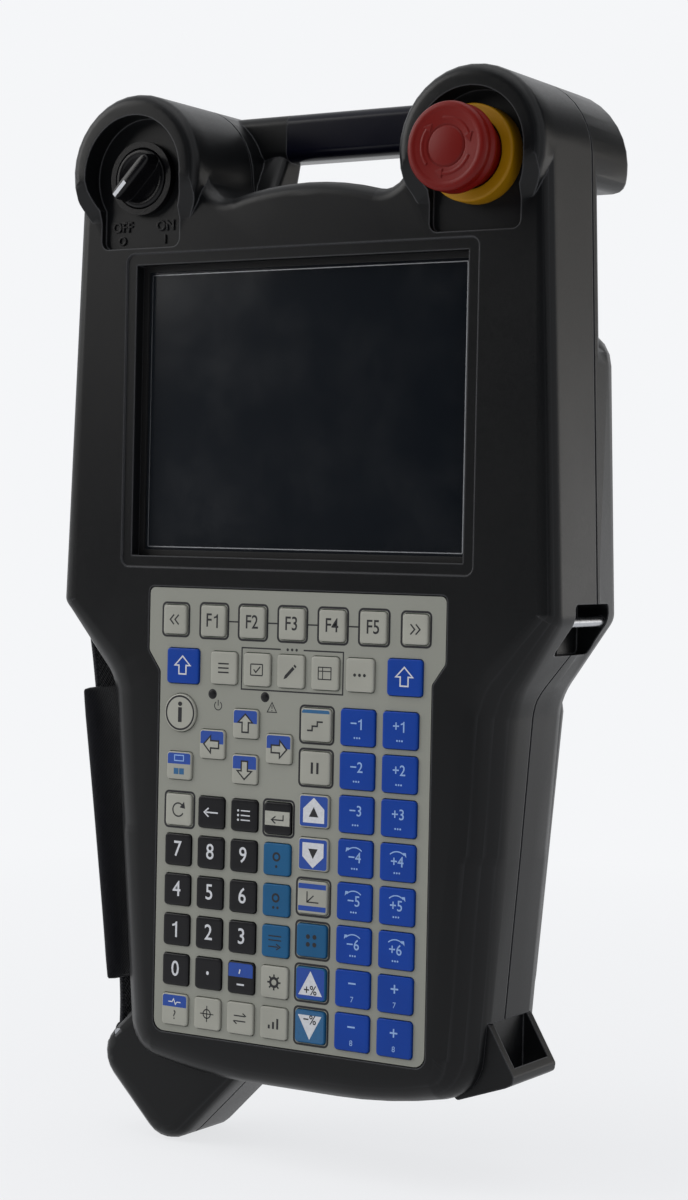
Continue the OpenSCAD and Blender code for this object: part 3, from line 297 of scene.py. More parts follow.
looks = {  # every finish of the pendant, by the record's slot or by its own use
    # the case plastic carries the painted edge highlight
    "case": plastic("casePlastic", "#0c0d0f", "#0f1011", 0.35, 1500.0, 0.000022, 0.0006, dusty=0.0, spec=0.2, edgeHighlight=0.4),
    "lever": plastic("leverPlastic", "#17181a", "#1f2022", 0.45, 1500.0, 0.00005, 0.0005),
    "bar": plastic("barPlastic", "#030410", "#060716", 0.24, 2400.0, 0.00001, 0.0004, dusty=0.0, spec=0.2),
    "rubber": plastic("sealRubber", "#0b0b0c", "#131314", 0.62, 1800.0, 0.00004, 0.0003, dusty=0.2, spec=0.3),
    # the controls' own black, made darker than the case's as painted shade for their pockets
    "control": plastic("controlBlackAndShade", "#050507", "#0a0a0d", 0.3, 2600.0, 0.00002, 0.0003, dusty=0.0, spec=0.22),
    "board": plastic("boardGreen", "#1d5c3a", "#24704a", 0.45, 900.0, 0.00003, 0.0),
    "steel": metal("pinSteel", "#b4b6ba", 0.3),
    "lcdFrame": metal("displayFrame", "#9b9da1", 0.42, (500, 500, 500)),
    "sheet": plastic("sheetGrey", "#8b8c83", "#85867d", 0.5, 1700.0, 0.00003, 0.0, dusty=0.0, spec=0.3),
    "light": keyPlastic("keyLight", "#9c9c92"),
    "blue": keyPlastic("keyBlue", "#033a94", 0.36, 0.2, 0.0),
    "teal": keyPlastic("keyTeal", "#195680", 0.4, 0.2, 0.0),
    "dark": keyPlastic("keyDark", "#08080d", 0.34, 0.28, 0.0),
    "inkBlack": ink("inkBlack", "#101016"),
    "inkWhite": ink("inkWhite", "#c9cbcf"),
    "inkBlue": ink("inkBlue", "#093f96"),
    "inkPale": ink("inkPale", "#86a6d6"),
    "inkTeal": ink("inkTeal", "#1e5a86"),
    "inkLight": ink("inkLight", "#a2a298"),
    "stopRed": plastic("stopRed", "#640500", "#6c0801", 0.42, 1900.0, 0.00003, 0.0004, dusty=0.0, spec=0.2),
    "yellow": plastic("ringYellow", "#9a6e03", "#8e6503", 0.42, 1700.0, 0.00003, 0.0004, dusty=0.0, spec=0.2),
}


def glassLook():  # resistive touch glass: dark, faintly blue, with a satin film over it
    m, t, b = surface("touchFilm", IOR=1.5, Specular_IOR_Level=0.4, Coat_Weight=0.08, Coat_Roughness=0.05)
    p = objectPoint(t)
    fade = put(t, "ShaderNodeSeparateXYZ")
    t.links.new(p, fade.inputs[0])
    # painted reflection: the screen's colour lightens towards the left and the bottom, and a random cloud mottles it
    slope = math2(t, "ADD", fade.outputs["X"], math2(t, "MULTIPLY", fade.outputs["Z"], 0.45))
    cloud = spread(t, noise(t, p, 26.0, 2.0), 0.3, 0.8, -0.1, 0.25)
    glareAndMottle = math2(t, "ADD", spread(t, slope, 0.03, -0.12), cloud, clamp=True)
    t.links.new(mix(t, glareAndMottle, rgb("#0e1217"), rgb("#191c20")), b.inputs["Base Color"])
    smear = spread(t, noise(t, p, 38.0, 5.0, 0.65), 0.4, 0.75, 0.14, 0.24)
    t.links.new(smear, b.inputs["Roughness"])
    bumpFrom(t, b, noise(t, p, 1500.0, 2.0), 0.000006, 0.5)
    return m


def webLook():  # black polyester tape
    m, t, b = surface("strapTape", Sheen_Weight=0.25, Sheen_Roughness=0.5, Specular_IOR_Level=0.2)
    w = place(t, weave, Pitch=760.0)
    t.links.new(mix(t, w.outputs["Thread"], rgb("#0b0c11"), rgb("#181a20")), b.inputs["Base Color"])
    t.links.new(spread(t, w.outputs["Height"], 0, 1.4, 0.85, 0.6), b.inputs["Roughness"])
    bumpFrom(t, b, w.outputs["Height"], 0.00035, 0.9)
    return m


def sleeveLook():  # coated nylon cloth over foam
    m, t, b = surface("sleeveCloth", Sheen_Weight=0.2, Sheen_Roughness=0.4, Specular_IOR_Level=0.35)
    w = place(t, weave, Pitch=1500.0)
    p = objectPoint(t)
    t.links.new(mix(t, w.outputs["Thread"], rgb("#0a0b12"), rgb("#14151d")), b.inputs["Base Color"])
    soft = noise(t, p, 90.0, 4.0, 0.6)
    t.links.new(spread(t, soft, 0.3, 0.7, 0.48, 0.6), b.inputs["Roughness"])
    h = math2(t, "ADD", math2(t, "MULTIPLY", w.outputs["Height"], 0.3), soft)
    bumpFrom(t, b, h, 0.0006, 0.6)
    return m


looks["glass"], looks["web"], looks["sleeve"] = glassLook(), webLook(), sleeveLook()
print("finishes made", len(looks))


# the CAD's own pieces: softer shading and their finish

def makeSoften():  # joins the split corners and shades smooth up to an angle
    g = bpy.data.node_groups.new("softShading", "GeometryNodeTree")
    g.interface.new_socket("Geometry", in_out="INPUT", socket_type="NodeSocketGeometry")
    angle = g.interface.new_socket("Angle", in_out="INPUT", socket_type="NodeSocketFloat")
    angle.default_value = 0.6
    g.interface.new_socket("Geometry", in_out="OUTPUT", socket_type="NodeSocketGeometry")
    i, o = g.nodes.new("NodeGroupInput"), g.nodes.new("NodeGroupOutput")
    weld = g.nodes.new("GeometryNodeMergeByDistance")
    weld.inputs["Distance"].default_value = 0.000004
    faces, edges = g.nodes.new("GeometryNodeSetShadeSmooth"), g.nodes.new("GeometryNodeSetShadeSmooth")
    faces.domain, edges.domain = "FACE", "EDGE"
    edges.inputs["Shade Smooth"].default_value = False
    bend = g.nodes.new("GeometryNodeInputMeshEdgeAngle")
    over = g.nodes.new("FunctionNodeCompare")
    over.data_type, over.operation = "FLOAT", "GREATER_THAN"
    g.links.new(bend.outputs["Unsigned Angle"], over.inputs[0])
    g.links.new(i.outputs["Angle"], over.inputs[1])
    g.links.new(i.outputs["Geometry"], weld.inputs["Geometry"])
    g.links.new(weld.outputs["Geometry"], faces.inputs["Geometry"])
    g.links.new(faces.outputs["Geometry"], edges.inputs["Geometry"])
    g.links.new(over.outputs["Result"], edges.inputs["Selection"])
    g.links.new(edges.outputs["Geometry"], o.inputs["Geometry"])
    return g


soften = makeSoften()
softAngle = {"front_case": 33, "rear_case": 33}  # degrees; the other pieces use otherAngle
otherAngle = 35


def finishNode(name, look):
    o = nodes[name]
    o.data.materials.clear()
    o.data.materials.append(looks[look])
    stored = o.data.attributes.get("custom_normal")
    if stored:
        o.data.attributes.remove(stored)
    for attribute in [a for a in o.data.attributes if a.name in ("sharp_edge", "sharp_face")]:
        o.data.attributes.remove(attribute)
    mod = o.modifiers.new("soft", "NODES")
    mod.node_group = soften
    key = next(s.identifier for s in soften.interface.items_tree if s.name == "Angle")
    mod[key] = math.radians(softAngle.get(name, otherAngle))
    if name in softAngle:
        weigh = o.modifiers.new("weigh", "WEIGHTED_NORMAL")
        weigh.keep_sharp = True


finishOf = {
    "front_case": "case", "rear_case": "case", "case_seal": "rubber", "case_screws": "steel", "hanging_bar": "bar",
    "touch_glass": "glass", "window_gasket": "rubber", "lcd_panel": "lcdFrame", "main_board": "board",
    "key_sheet": "sheet", "key_board": "board", "estop_stem": "steel", "estop_ring": "yellow", "estop_block": "control",
    "selector_collar": "control", "selector_block": "control",
    "enable_lever_left": "lever", "enable_lever_right": "lever",
    "enable_switches": "control", "lever_pins": "steel", "strap_pins": "steel", "strap_loop": "case",
    "cable_socket": "steel", "cable_insert": "rubber",
}
for name, look in finishOf.items():
    finishNode(name, look)
print("CAD pieces finished", len(finishOf))


# flat shapes drawn in the plane of the keypad

def islands(node, join=1e-5):  # boxes of a node's separate solids, left to right
    me = nodes[node].data
    parent, where = {}, {}

    def top(a):
        while parent[a] != a:
            parent[a] = parent[parent[a]]
            a = parent[a]
        return a

    keyOf = []
    for v in me.vertices:
        k = tuple(round(c / join) for c in v.co)
        keyOf.append(where.setdefault(k, v.index))
        parent[v.index] = v.index
    for e in me.polygons:
        first = top(keyOf[e.vertices[0]])
        for i in e.vertices[1:]:
            parent[top(keyOf[i])] = first
    groups = {}
    for v in me.vertices:
        groups.setdefault(top(keyOf[v.index]), []).append(v.co)
    boxes = []
    for pts in groups.values():
        lo = Vector([min(p[i] for p in pts) for i in range(3)])
        hi = Vector([max(p[i] for p in pts) for i in range(3)])
        boxes.append((lo, hi))
    return sorted(boxes, key=lambda b: b[0].x)


def roundedLoop(w, h, r, n=5):  # closed loop of (x, z) about the middle, anticlockwise from the front
    pts = []
    right, top = w / 2 - r, h / 2 - r
    for cx, cz, a0 in ((right, top, 0), (-right, top, 90), (-right, -top, 180), (right, -top, 270)):
        for k in range(n + 1):
            a = math.radians(a0 + 90 * k / n)
            pts.append((cx + r * math.cos(a), cz + r * math.sin(a)))
    return pts


def circleLoop(r, n=48):
    return [(r * math.cos(2 * math.pi * k / n), r * math.sin(2 * math.pi * k / n)) for k in range(n)]


def skin(bm, rings, slot=0, around=False):  # smooth faces between rings; around joins the last to the first
    pairs = list(zip(rings, rings[1:])) + ([(rings[-1], rings[0])] if around else [])
    for a, b in pairs:
        n = len(a)
        for k in range(n):
            f = bm.faces.new((a[k], a[(k + 1) % n], b[(k + 1) % n], b[k]))
            f.smooth, f.material_index = True, slot


def show(name, data):  # puts a mesh, text, lamp or camera in the scene
    ob = bpy.data.objects.new(name, data)
    bpy.context.scene.collection.objects.link(ob)
    return ob


def meshFrom(name, bm, materials):
    me = bpy.data.meshes.new(name)
    bm.to_mesh(me)
    bm.free()
    for m in materials:
        me.materials.append(m)
    return show(name, me)


def piece(name, bm, used, body, replaced, slot):  # a visible piece with its looks, body and CAD nodes; slot is not used
    ob = meshFrom(name, bm, [looks[n] for n in used])
    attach(ob, body)
    if replaced:
        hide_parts(*replaced)
    return ob


def letters(name, words, size, bold):  # text about its middle; bold thickens the strokes and closes the inside of a 4
    cu = bpy.data.curves.new(name, "FONT")
    cu.body, cu.size, cu.align_x, cu.align_y, cu.offset = words, size, "CENTER", "CENTER", bold
    return cu


def meshOf(ob):
    return bpy.data.meshes.new_from_object(ob.evaluated_get(bpy.context.evaluated_depsgraph_get()))


def middle(lo, hi):  # of a box, seen from the front
    return (lo.x + hi.x) / 2, (lo.z + hi.z) / 2


class Sketch:  # gathers faces in one mesh; x and z in millimetres about (cx, cz), y in metres
    def __init__(self, looksUsed):
        self.bm = bmesh.new()
        self.names = list(looksUsed)
        self.cx = self.cz = 0.0
        self.y = 0.0

    def at(self, cx, cz, y):
        self.cx, self.cz, self.y = cx, cz, y
        return self

    def vert(self, x, z, lift=0.0):
        return self.bm.verts.new((self.cx + x * mm, self.y - lift * mm, self.cz + z * mm))

    def index(self, look):
        if look not in self.names:
            self.names.append(look)
        return self.names.index(look)

    def face(self, pts, look, lift=0.015):
        f = self.bm.faces.new([self.vert(x, z, lift) for x, z in pts])
        f.material_index = self.index(look)
        return f

    def ring(self, outer, inner, look, lift=0.015):
        a = [self.vert(x, z, lift) for x, z in outer]
        b = [self.vert(x, z, lift) for x, z in inner]
        n = len(a)
        for k in range(n):
            f = self.bm.faces.new((a[k], a[(k + 1) % n], b[(k + 1) % n], b[k]))
            f.material_index = self.index(look)

    def frameRing(self, w, h, r, line, look, lift=0.015):
        self.ring(roundedLoop(w, h, r), roundedLoop(w - 2 * line, h - 2 * line, max(r - line, 0.05)), look, lift)

    def line(self, pts, width, look, lift=0.02, closed=False):  # a stroke along points, mitred
        n = len(pts)
        left, right = [], []
        for i, (x, z) in enumerate(pts):
            a = pts[(i - 1) % n] if closed or i else (x, z)
            b = pts[(i + 1) % n] if closed or i < n - 1 else (x, z)
            d1 = Vector((x - a[0], z - a[1]))
            d2 = Vector((b[0] - x, b[1] - z))
            d1 = d1.normalized() if d1.length else d2.normalized()
            d2 = d2.normalized() if d2.length else d1
            t = (d1 + d2).normalized() if (d1 + d2).length > 1e-6 else d1
            nrm = Vector((-t.y, t.x))
            k = width / 2 / max(0.45, nrm.dot(Vector((-d1.y, d1.x))))
            left.append((x + nrm.x * k, z + nrm.y * k))
            right.append((x - nrm.x * k, z - nrm.y * k))
        a = [self.vert(x, z, lift) for x, z in right]
        b = [self.vert(x, z, lift) for x, z in left]
        for i in range(n if closed else n - 1):
            j = (i + 1) % n
            f = self.bm.faces.new((a[i], a[j], b[j], b[i]))
            f.material_index = self.index(look)

    def arc(self, cx, cz, r, a0, a1, width, look, lift=0.02, n=14):
        turns = [math.radians(a0 + (a1 - a0) * k / n) for k in range(n + 1)]
        self.line([(cx + r * math.cos(a), cz + r * math.sin(a)) for a in turns], width, look, lift)

    def disc(self, cx, cz, r, look, lift=0.02, n=24):
        self.face([(cx + x, cz + z) for x, z in circleLoop(r, n)], look, lift)

    def text(self, body, size, look, x=0.0, z=0.0, lift=0.025, squeeze=1.0, bold=0.0):
        if "1" in body:  # the font's own 1 is a bare bar
            rest = body.replace("1", "")
            step = size * 0.3 * squeeze
            self.one(size, look, x + (step if rest else 0), z, lift, squeeze)
            if not rest:
                return
            body, x = rest, x - step
        cu = letters("glyphs", body, size, bold)
        cu.resolution_u = 3
        ob = show("glyphs", cu)
        me = meshOf(ob)
        vs = [self.vert(x + v.co.x * squeeze, z + v.co.y, lift) for v in me.vertices]
        slot = self.index(look)
        for p in me.polygons:
            try:
                f = self.bm.faces.new([vs[i] for i in p.vertices])
                f.material_index = slot
            except ValueError:
                pass
        bpy.data.objects.remove(ob)
        bpy.data.curves.remove(cu)
        bpy.data.meshes.remove(me)

    def one(self, size, look, x=0.0, z=0.0, lift=0.025, squeeze=1.0):  # a figure 1 with its flag
        s = size * 0.36
        left = [(-0.62, 0.36), (-0.62, 0.62), (-0.22, 0.72), (0.02, 1.0), (0.2, 1.0), (0.2, -1.0), (-0.1, -1.0),
                (-0.1, 0.5)]
        self.face([(x + a * s * squeeze, z + c * s) for a, c in left[::-1]], look, lift)

    def cap(self, loopAt, edge, top, bottom, look, crown=0.0):  # a moulded cap: sides, rounded rim, level or crowned top
        rings = [(bottom, 0.0)]
        for k in range(5):
            a = math.radians(90 * k / 4)
            rings.append((top - edge * (1 - math.sin(a)), edge * (1 - math.cos(a))))
        rings.append((top + crown, edge + 0.9))
        loops = []
        for lift, inset in rings:
            loops.append([self.vert(x, z, lift) for x, z in loopAt(inset)])
        skin(self.bm, loops, self.index(look))
        f = self.bm.faces.new(loops[-1])
        f.smooth, f.material_index = True, self.index(look)

    def build(self, name, body, slot, replaced=()):
        flat = [f for f in self.bm.faces if len(f.verts) > 4 and not f.smooth]
        if flat:
            bmesh.ops.triangulate(self.bm, faces=flat)
        self.bm.normal_update()
        piece(name, self.bm, self.names, body, replaced, slot)


# key caps and their legends

keyShape = {"flange": 0.7, "corner": 1.2, "rim": 0.42, "depth": 1.5}


def arrowPts(angle, s=1.0):  # a block arrow, pointing up and turned by angle
    raw = [(0, 3.3), (2.9, 0.5), (1.25, 0.5), (1.25, -2.8), (-1.25, -2.8), (-1.25, 0.5), (-2.9, 0.5)]
    c, d = math.cos(math.radians(angle)) * s, math.sin(math.radians(angle)) * s
    return [(x * c - z * d, x * d + z * c) for x, z in reversed(raw)]


def drawArrow(sk, angle):  # two-tone key with an outlined arrow
    pts = arrowPts(angle, 1.02)
    sk.face([pts[0], pts[5], pts[6]], "inkLight", 0.03)  # head, then stem
    sk.face(pts[1:5], "inkLight", 0.03)
    sk.line(pts, 0.55, "inkBlack", 0.045, True)


def half(sk, w, h, look, z0, z1):  # a printed band across a key between two heights, rounded at the cap's corners
    outline = roundedLoop(w - 0.84, h - 0.84, 0.9, 5)
    cut = [(x, min(max(z, z0), z1)) for x, z in outline]
    sk.face([p for i, p in enumerate(cut) if p != cut[i - 1]], look, 0.018)


def stroke(sk, pts, look="inkBlack", w=0.45, closed=False):
    sk.line(pts, w, look, 0.03, closed)


bands = {  # printed bands behind a sign: ink, lower and upper height
    "arrow": [("inkBlue", 0.2, 9)], "step": [("inkTeal", 3.9, 9)], "signs": [("inkBlue", 0.3, 9)],
    "axes": [("inkBlue", 2.9, 4.6), ("inkBlue", -4.6, -2.9)], "enter": [("inkLight", -2.4, 2.4)],
    "help": [("inkBlue", 0.9, 9)], "display": [("inkBlue", 0.6, 9)],
}
lineSigns = {  # signs, or parts of them, made of lines in the key's own ink: width and points of each
    "bars": [(0.5, [(-2.2, z), (2.2, z)]) for z in (-1.5, 0, 1.5)],
    "pick": [(0.45, [(-1.2, 0.1), (-0.3, -0.9), (1.5, 1.1)])],
    "pencil": [(1.1, [(-1.9, -1.9), (1.3, 1.3)]), (1.1, [(1.6, 1.6), (2.1, 2.1)])],
    "table": [(0.32, [(-2.5, 0.7), (2.5, 0.7)]), (0.32, [(-0.8, 2.0), (-0.8, -2.0)])],
    "step": [(0.55, [(-3.3, -1.9), (-1.3, -1.9), (-1.3, -0.4), (0.7, -0.4), (0.7, 1.1), (2.9, 1.1)])],
    "pause": [(0.9, [(x, -1.9), (x, 1.9)]) for x in (-1.1, 1.1)],
    "axes": [(0.42, [(-2.0, 2.0), (-2.0, -1.6), (2.6, -1.6)]), (0.42, [(-2.0, -1.6), (0.6, 0.7)])],
    "back": [(0.5, [(-2.0, 0), (3.0, 0)]), (0.5, [(-0.9, 1.5), (-2.7, 0), (-0.9, -1.5)])],
    "list": [(0.4, [(-1.2, z), (2.6, z)]) for z in (-1.6, 0, 1.6)],
    "levels": [(0.8, [(x, -1.9), (x, -1.9 + tall)]) for x, tall in ((-1.7, 1.3), (0, 2.4), (1.7, 3.6))],
    "swap": [(0.42, [(a * s, c * s), (d * s, 0.9 * s)])
             for s in (1, -1) for a, c, d in ((-2.4, 0.9, 2.2), (1.2, 1.9, 2.6))],
    "cross": [(0.36, [(-2.8, 0), (2.8, 0)]), (0.36, [(0, -2.8), (0, 2.8)])],
}


def drawJog(sk, sign, number, kind):  # a jog key's sign and axis number, with dots or a turn arrow
    if kind == "turn":
        sk.arc(0, -0.4, 4.1, 132, 48, 0.38, "inkPale", 0.03)
        tip = -1 if sign == "-" else 1
        sk.face([(tip * 2.1, 3.5), (tip * 3.5, 1.9), (tip * 3.3, 3.5)][::tip], "inkPale", 0.032)
    mark = "−" if sign == "-" else "+"
    if kind == "plain":
        sk.text(mark, 6.0, "inkPale", 0, 1.6, 0.03, 1.0, 0.03)
    else:
        sk.text(mark + number, 5.0, "inkPale", 0, 1.2 if kind == "line" else 0.2, 0.03, 0.95, 0.035)
    sk.text(number if kind == "plain" else "•" * 3, 2.7, "inkPale", 0, -3.5, 0.03)


def upright(sk, pts, s, look, lift):  # a face drawn for s = 1, or turned over for s = -1
    pts = [(x, s * z) for x, z in pts]
    sk.face(pts if s > 0 else pts[::-1], look, lift)


def drawLegend(sk, what, w, h, tone):
    hue = "inkWhite" if tone in ("dark", "blue", "teal") else "inkBlack"
    kind = what[0]
    for band, z0, z1 in bands.get(kind, ()):
        half(sk, w, h, band, z0, z1)
    if kind == "digit":
        sk.text(what[1], 7.6, hue, 0, 0.1, 0.03, 0.92, 0.05)
    elif kind == "word":
        sk.text(what[1], what[2], hue, 0, 0, 0.03, 0.86, 0.05)
    elif kind == "arrow":
        drawArrow(sk, what[1])
    elif kind == "jog":
        drawJog(sk, *what[1:])
    elif kind == "pick":  # a box with its mark
        sk.frameRing(5.2, 4.2, 0.4, 0.4, hue, 0.03)
    elif kind == "pencil":
        sk.face([(-2.7, -2.7), (-1.4, -2.2), (-2.2, -1.4)], hue, 0.032)
    elif kind == "table":
        sk.frameRing(5.4, 4.4, 0.2, 0.36, hue, 0.03)
    elif kind == "dots":
        for k in (-1, 0, 1):
            sk.disc(k * 1.9, 0, 0.55, hue, 0.03)
    elif kind == "chevrons":
        for k in (-0.8, 1.2):
            s = what[1]
            stroke(sk, [(s * (k - 0.9), 1.7), (s * (k + 0.7), 0), (s * (k - 0.9), -1.7)], hue, 0.5)
    elif kind == "shift":
        outline = [(0, 3.4), (-3.2, 0.2), (-1.5, 0.2), (-1.5, -2.8), (1.5, -2.8), (1.5, 0.2), (3.2, 0.2)]
        stroke(sk, outline, "inkWhite", 0.5, True)
    elif kind == "way":  # a pale pentagon on blue with a triangle
        half(sk, w, h, "inkBlue", -9, 9)
        upright(sk, [(-4.2, -3.9), (4.2, -3.9), (4.2, 0.8), (0, 4.6), (-4.2, 0.8)], what[1], "inkWhite", 0.03)
        upright(sk, [(-1.9, -1.9), (1.9, -1.9), (0, 1.5)], what[1], "inkBlack", 0.04)
    elif kind == "grid":
        for x, z in ((-1.3, -1.3), (-1.3, 1.3), (1.3, -1.3), (1.3, 1.3)):
            sk.disc(x, z, 0.8, "inkBlack", 0.03)
    elif kind == "rate":  # a white triangle with + % or - %
        s = what[1]
        half(sk, w, h, "inkBlue" if s > 0 else "inkTeal", -9, 9)
        upright(sk, [(-4.7, -3.9), (4.7, -3.9), (0, 4.3)], s, "inkWhite", 0.03)
        sk.text("+%" if s > 0 else "−%", 4.4, "inkBlack", 0, s * -2.3, 0.045, 0.95, 0.05)
    elif kind == "reset":
        sk.arc(0, 0, 2.3, 48, 330, 0.5, hue, 0.03, 22)
        sk.face([(0.6, 0.8), (2.9, 0.5), (2.4, 2.9)], hue, 0.032)
    elif kind == "list":
        for z in (-1.6, 0, 1.6):
            sk.disc(-2.3, z, 0.42, hue, 0.03, 12)
    elif kind == "enter":
        stroke(sk, [(2.4, 1.3), (2.4, -0.5), (-1.9, -0.5)])
        stroke(sk, [(-0.7, 0.7), (-2.3, -0.5), (-0.7, -1.7)])
    elif kind == "tool":
        sk.ring(*[[(x, z + 0.9) for x, z in circleLoop(r, 24)] for r in (1.6, 0.9)], "inkBlack", 0.03)
        for k in range(what[1]):
            sk.disc((k - (what[1] - 1) / 2) * 1.7, -2.4, 0.5, "inkBlack", 0.03, 12)
    elif kind == "move":
        for pts in ([(-2.6, 0.4), (2.6, 0.4)], [(-2.6, 1.8), (2.6, 1.8)], [(-2.6, -1.8), (1.4, -1.8)],
                    [(0.6, -0.8), (2.2, -1.8), (0.6, -2.8)]):
            stroke(sk, pts, w=0.4)
    elif kind == "signs":
        stroke(sk, [(-0.2, 2.9), (-0.6, 1.4)], "inkWhite", 0.5)
        stroke(sk, [(-1.5, -2.3), (1.5, -2.3)], "inkWhite", 0.6)
    elif kind == "gear":
        sk.ring(circleLoop(1.9, 24), circleLoop(1.0, 24), hue, 0.03)
        for a in (math.radians(45 * k) for k in range(8)):
            stroke(sk, [(r * math.cos(a), r * math.sin(a)) for r in (1.8, 2.7)], hue, 0.6)
    elif kind == "cross":
        sk.ring(circleLoop(1.7, 24), circleLoop(1.3, 24), hue, 0.03)
    elif kind == "help":
        stroke(sk, [(-2.6, 2.6), (-1.0, 2.6), (-0.4, 3.6), (0.4, 1.8), (1.0, 2.6), (2.6, 2.6)], "inkWhite", 0.36)
        sk.text("?", 4.4, "inkBlack", 0, -2.0, 0.03, 1.0, 0.015)
    elif kind == "display":
        stroke(sk, [(-1.9, 1.7), (-1.9, 3.6), (1.9, 3.6), (1.9, 1.7)], "inkPale", 0.36, True)
        for a in (-1.15, 1.15):
            sk.face([(a - 1, -3.0), (a + 1, -3.0), (a + 1, -0.9), (a - 1, -0.9)], "inkTeal", 0.03)
    elif kind == "info":
        sk.text("i", 10.5, "inkBlack", 0, 0.1, 0.03, 1.15, 0.22)
    for width, pts in lineSigns.get(kind, ()):
        stroke(sk, pts, hue, width)


rows = [  # CAD node, record slot, cap look, one legend for each key from left to right
    ("key_" + name, "key_" + look, look, [legend]) for name, look, legend in (
        ("display", "light", ("display",)), ("up_arrow", "light", ("arrow", 0)), ("left_arrow", "light", ("arrow", 90)),
        ("right_arrow", "light", ("arrow", -90)), ("down_arrow", "light", ("arrow", 180)),
        ("shift_left", "blue", ("shift",)), ("shift_right", "blue", ("shift",)), ("step", "light", ("step",)),
        ("hold", "light", ("pause",)), ("forward", "light", ("way", 1)), ("backward", "light", ("way", -1)),
        ("frame", "light", ("axes",)), ("group", "teal", ("grid",)), ("faster", "teal", ("rate", 1)),
        ("slower", "teal", ("rate", -1)))
] + [
    ("keys_function", "key_light", "light",
     [("chevrons", -1)] + [("word", "F%d" % k, 6.6) for k in range(1, 6)] + [("chevrons", 1)]),
    ("keys_menu", "key_light", "light", [("bars",), ("pick",), ("pencil",), ("table",), ("dots",)]),
    ("keys_edit", "key_dark", "dark", [("reset", "light"), ("back",), ("list",), ("enter",)]),
    ("keys_789", "key_dark", "dark", [("digit", "7"), ("digit", "8"), ("digit", "9"), ("tool", 1, "teal")]),
    ("keys_456", "key_dark", "dark", [("digit", "4"), ("digit", "5"), ("digit", "6"), ("tool", 2, "teal")]),
    ("keys_123", "key_dark", "dark", [("digit", "1"), ("digit", "2"), ("digit", "3"), ("move", "teal")]),
    ("keys_0", "key_dark", "dark", [("digit", "0"), ("word", "•", 5.0), ("signs",), ("gear", "light")]),
    ("keys_help", "key_light", "light", [("help",), ("cross",), ("swap",), ("levels",)]),
] + [
    ("keys_jog_%d" % k, "key_blue", "blue",
     [("jog", s, str(k), "line" if k < 4 else "turn" if k < 7 else "plain") for s in "-+"])
    for k in range(1, 9)
]


def buildKeys(node, slot, look, legends):
    sk = Sketch([look])
    for (lo, hi), what in zip(islands(node), legends):
        w = (hi.x - lo.x) / mm - 2 * keyShape["flange"]
        h = (hi.z - lo.z) / mm - 2 * keyShape["flange"]
        tone = what[-1] if what[-1] in ("light", "teal") else look
        sk.at(*middle(lo, hi), lo.y)

        def capLoop(inset):
            return roundedLoop(w - 2 * inset, h - 2 * inset, max(keyShape["corner"] - inset * 0.7, 0.35))

        sk.cap(capLoop, keyShape["rim"], 0.0, -keyShape["depth"], tone)
        drawLegend(sk, what, w, h, tone)
    sk.build("cap_" + node, node + "_body", slot, [node])


for row in rows:
    buildKeys(*row)


def buildInfoKey():  # the round key, with its printed ring
    lo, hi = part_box("key_info")
    sk = Sketch(["light"]).at(*middle(lo, hi), lo.y)
    r = (hi.x - lo.x) / 2 / mm - keyShape["flange"]
    sk.cap(lambda inset: circleLoop(r - inset, 48), keyShape["rim"], 0.0, -keyShape["depth"], "light")
    sk.ring(circleLoop(r - 0.5, 48), circleLoop(r - 1.15, 48), "inkBlack", 0.02)
    drawLegend(sk, ("info",), 0, 0, "light")
    sk.build("cap_key_info", "key_info_body", "key_light", ["key_info"])


buildInfoKey()
print("keys built", len(rows) + 1)


# print on the key sheet

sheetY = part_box("key_sheet")[0].y
printing = {"ring": 0.75, "gap": 0.4, "line": 0.5, "lift": 0.012, "titleHalf": 4.6}


def keyRect(node, which=0):
    lo, hi = islands(node)[which]
    f = keyShape["flange"] * mm
    return *middle(lo, hi), (hi.x - lo.x - 2 * f) / mm, (hi.z - lo.z - 2 * f) / mm


def lightsAt():  # the middles of the two status lights, to the right of the information key and above it
    x, z = keyRect("key_info")[:2]
    return [(x + 13.0 * mm, z + 7.1 * mm), (x + 34.7 * mm, z + 7.1 * mm)]


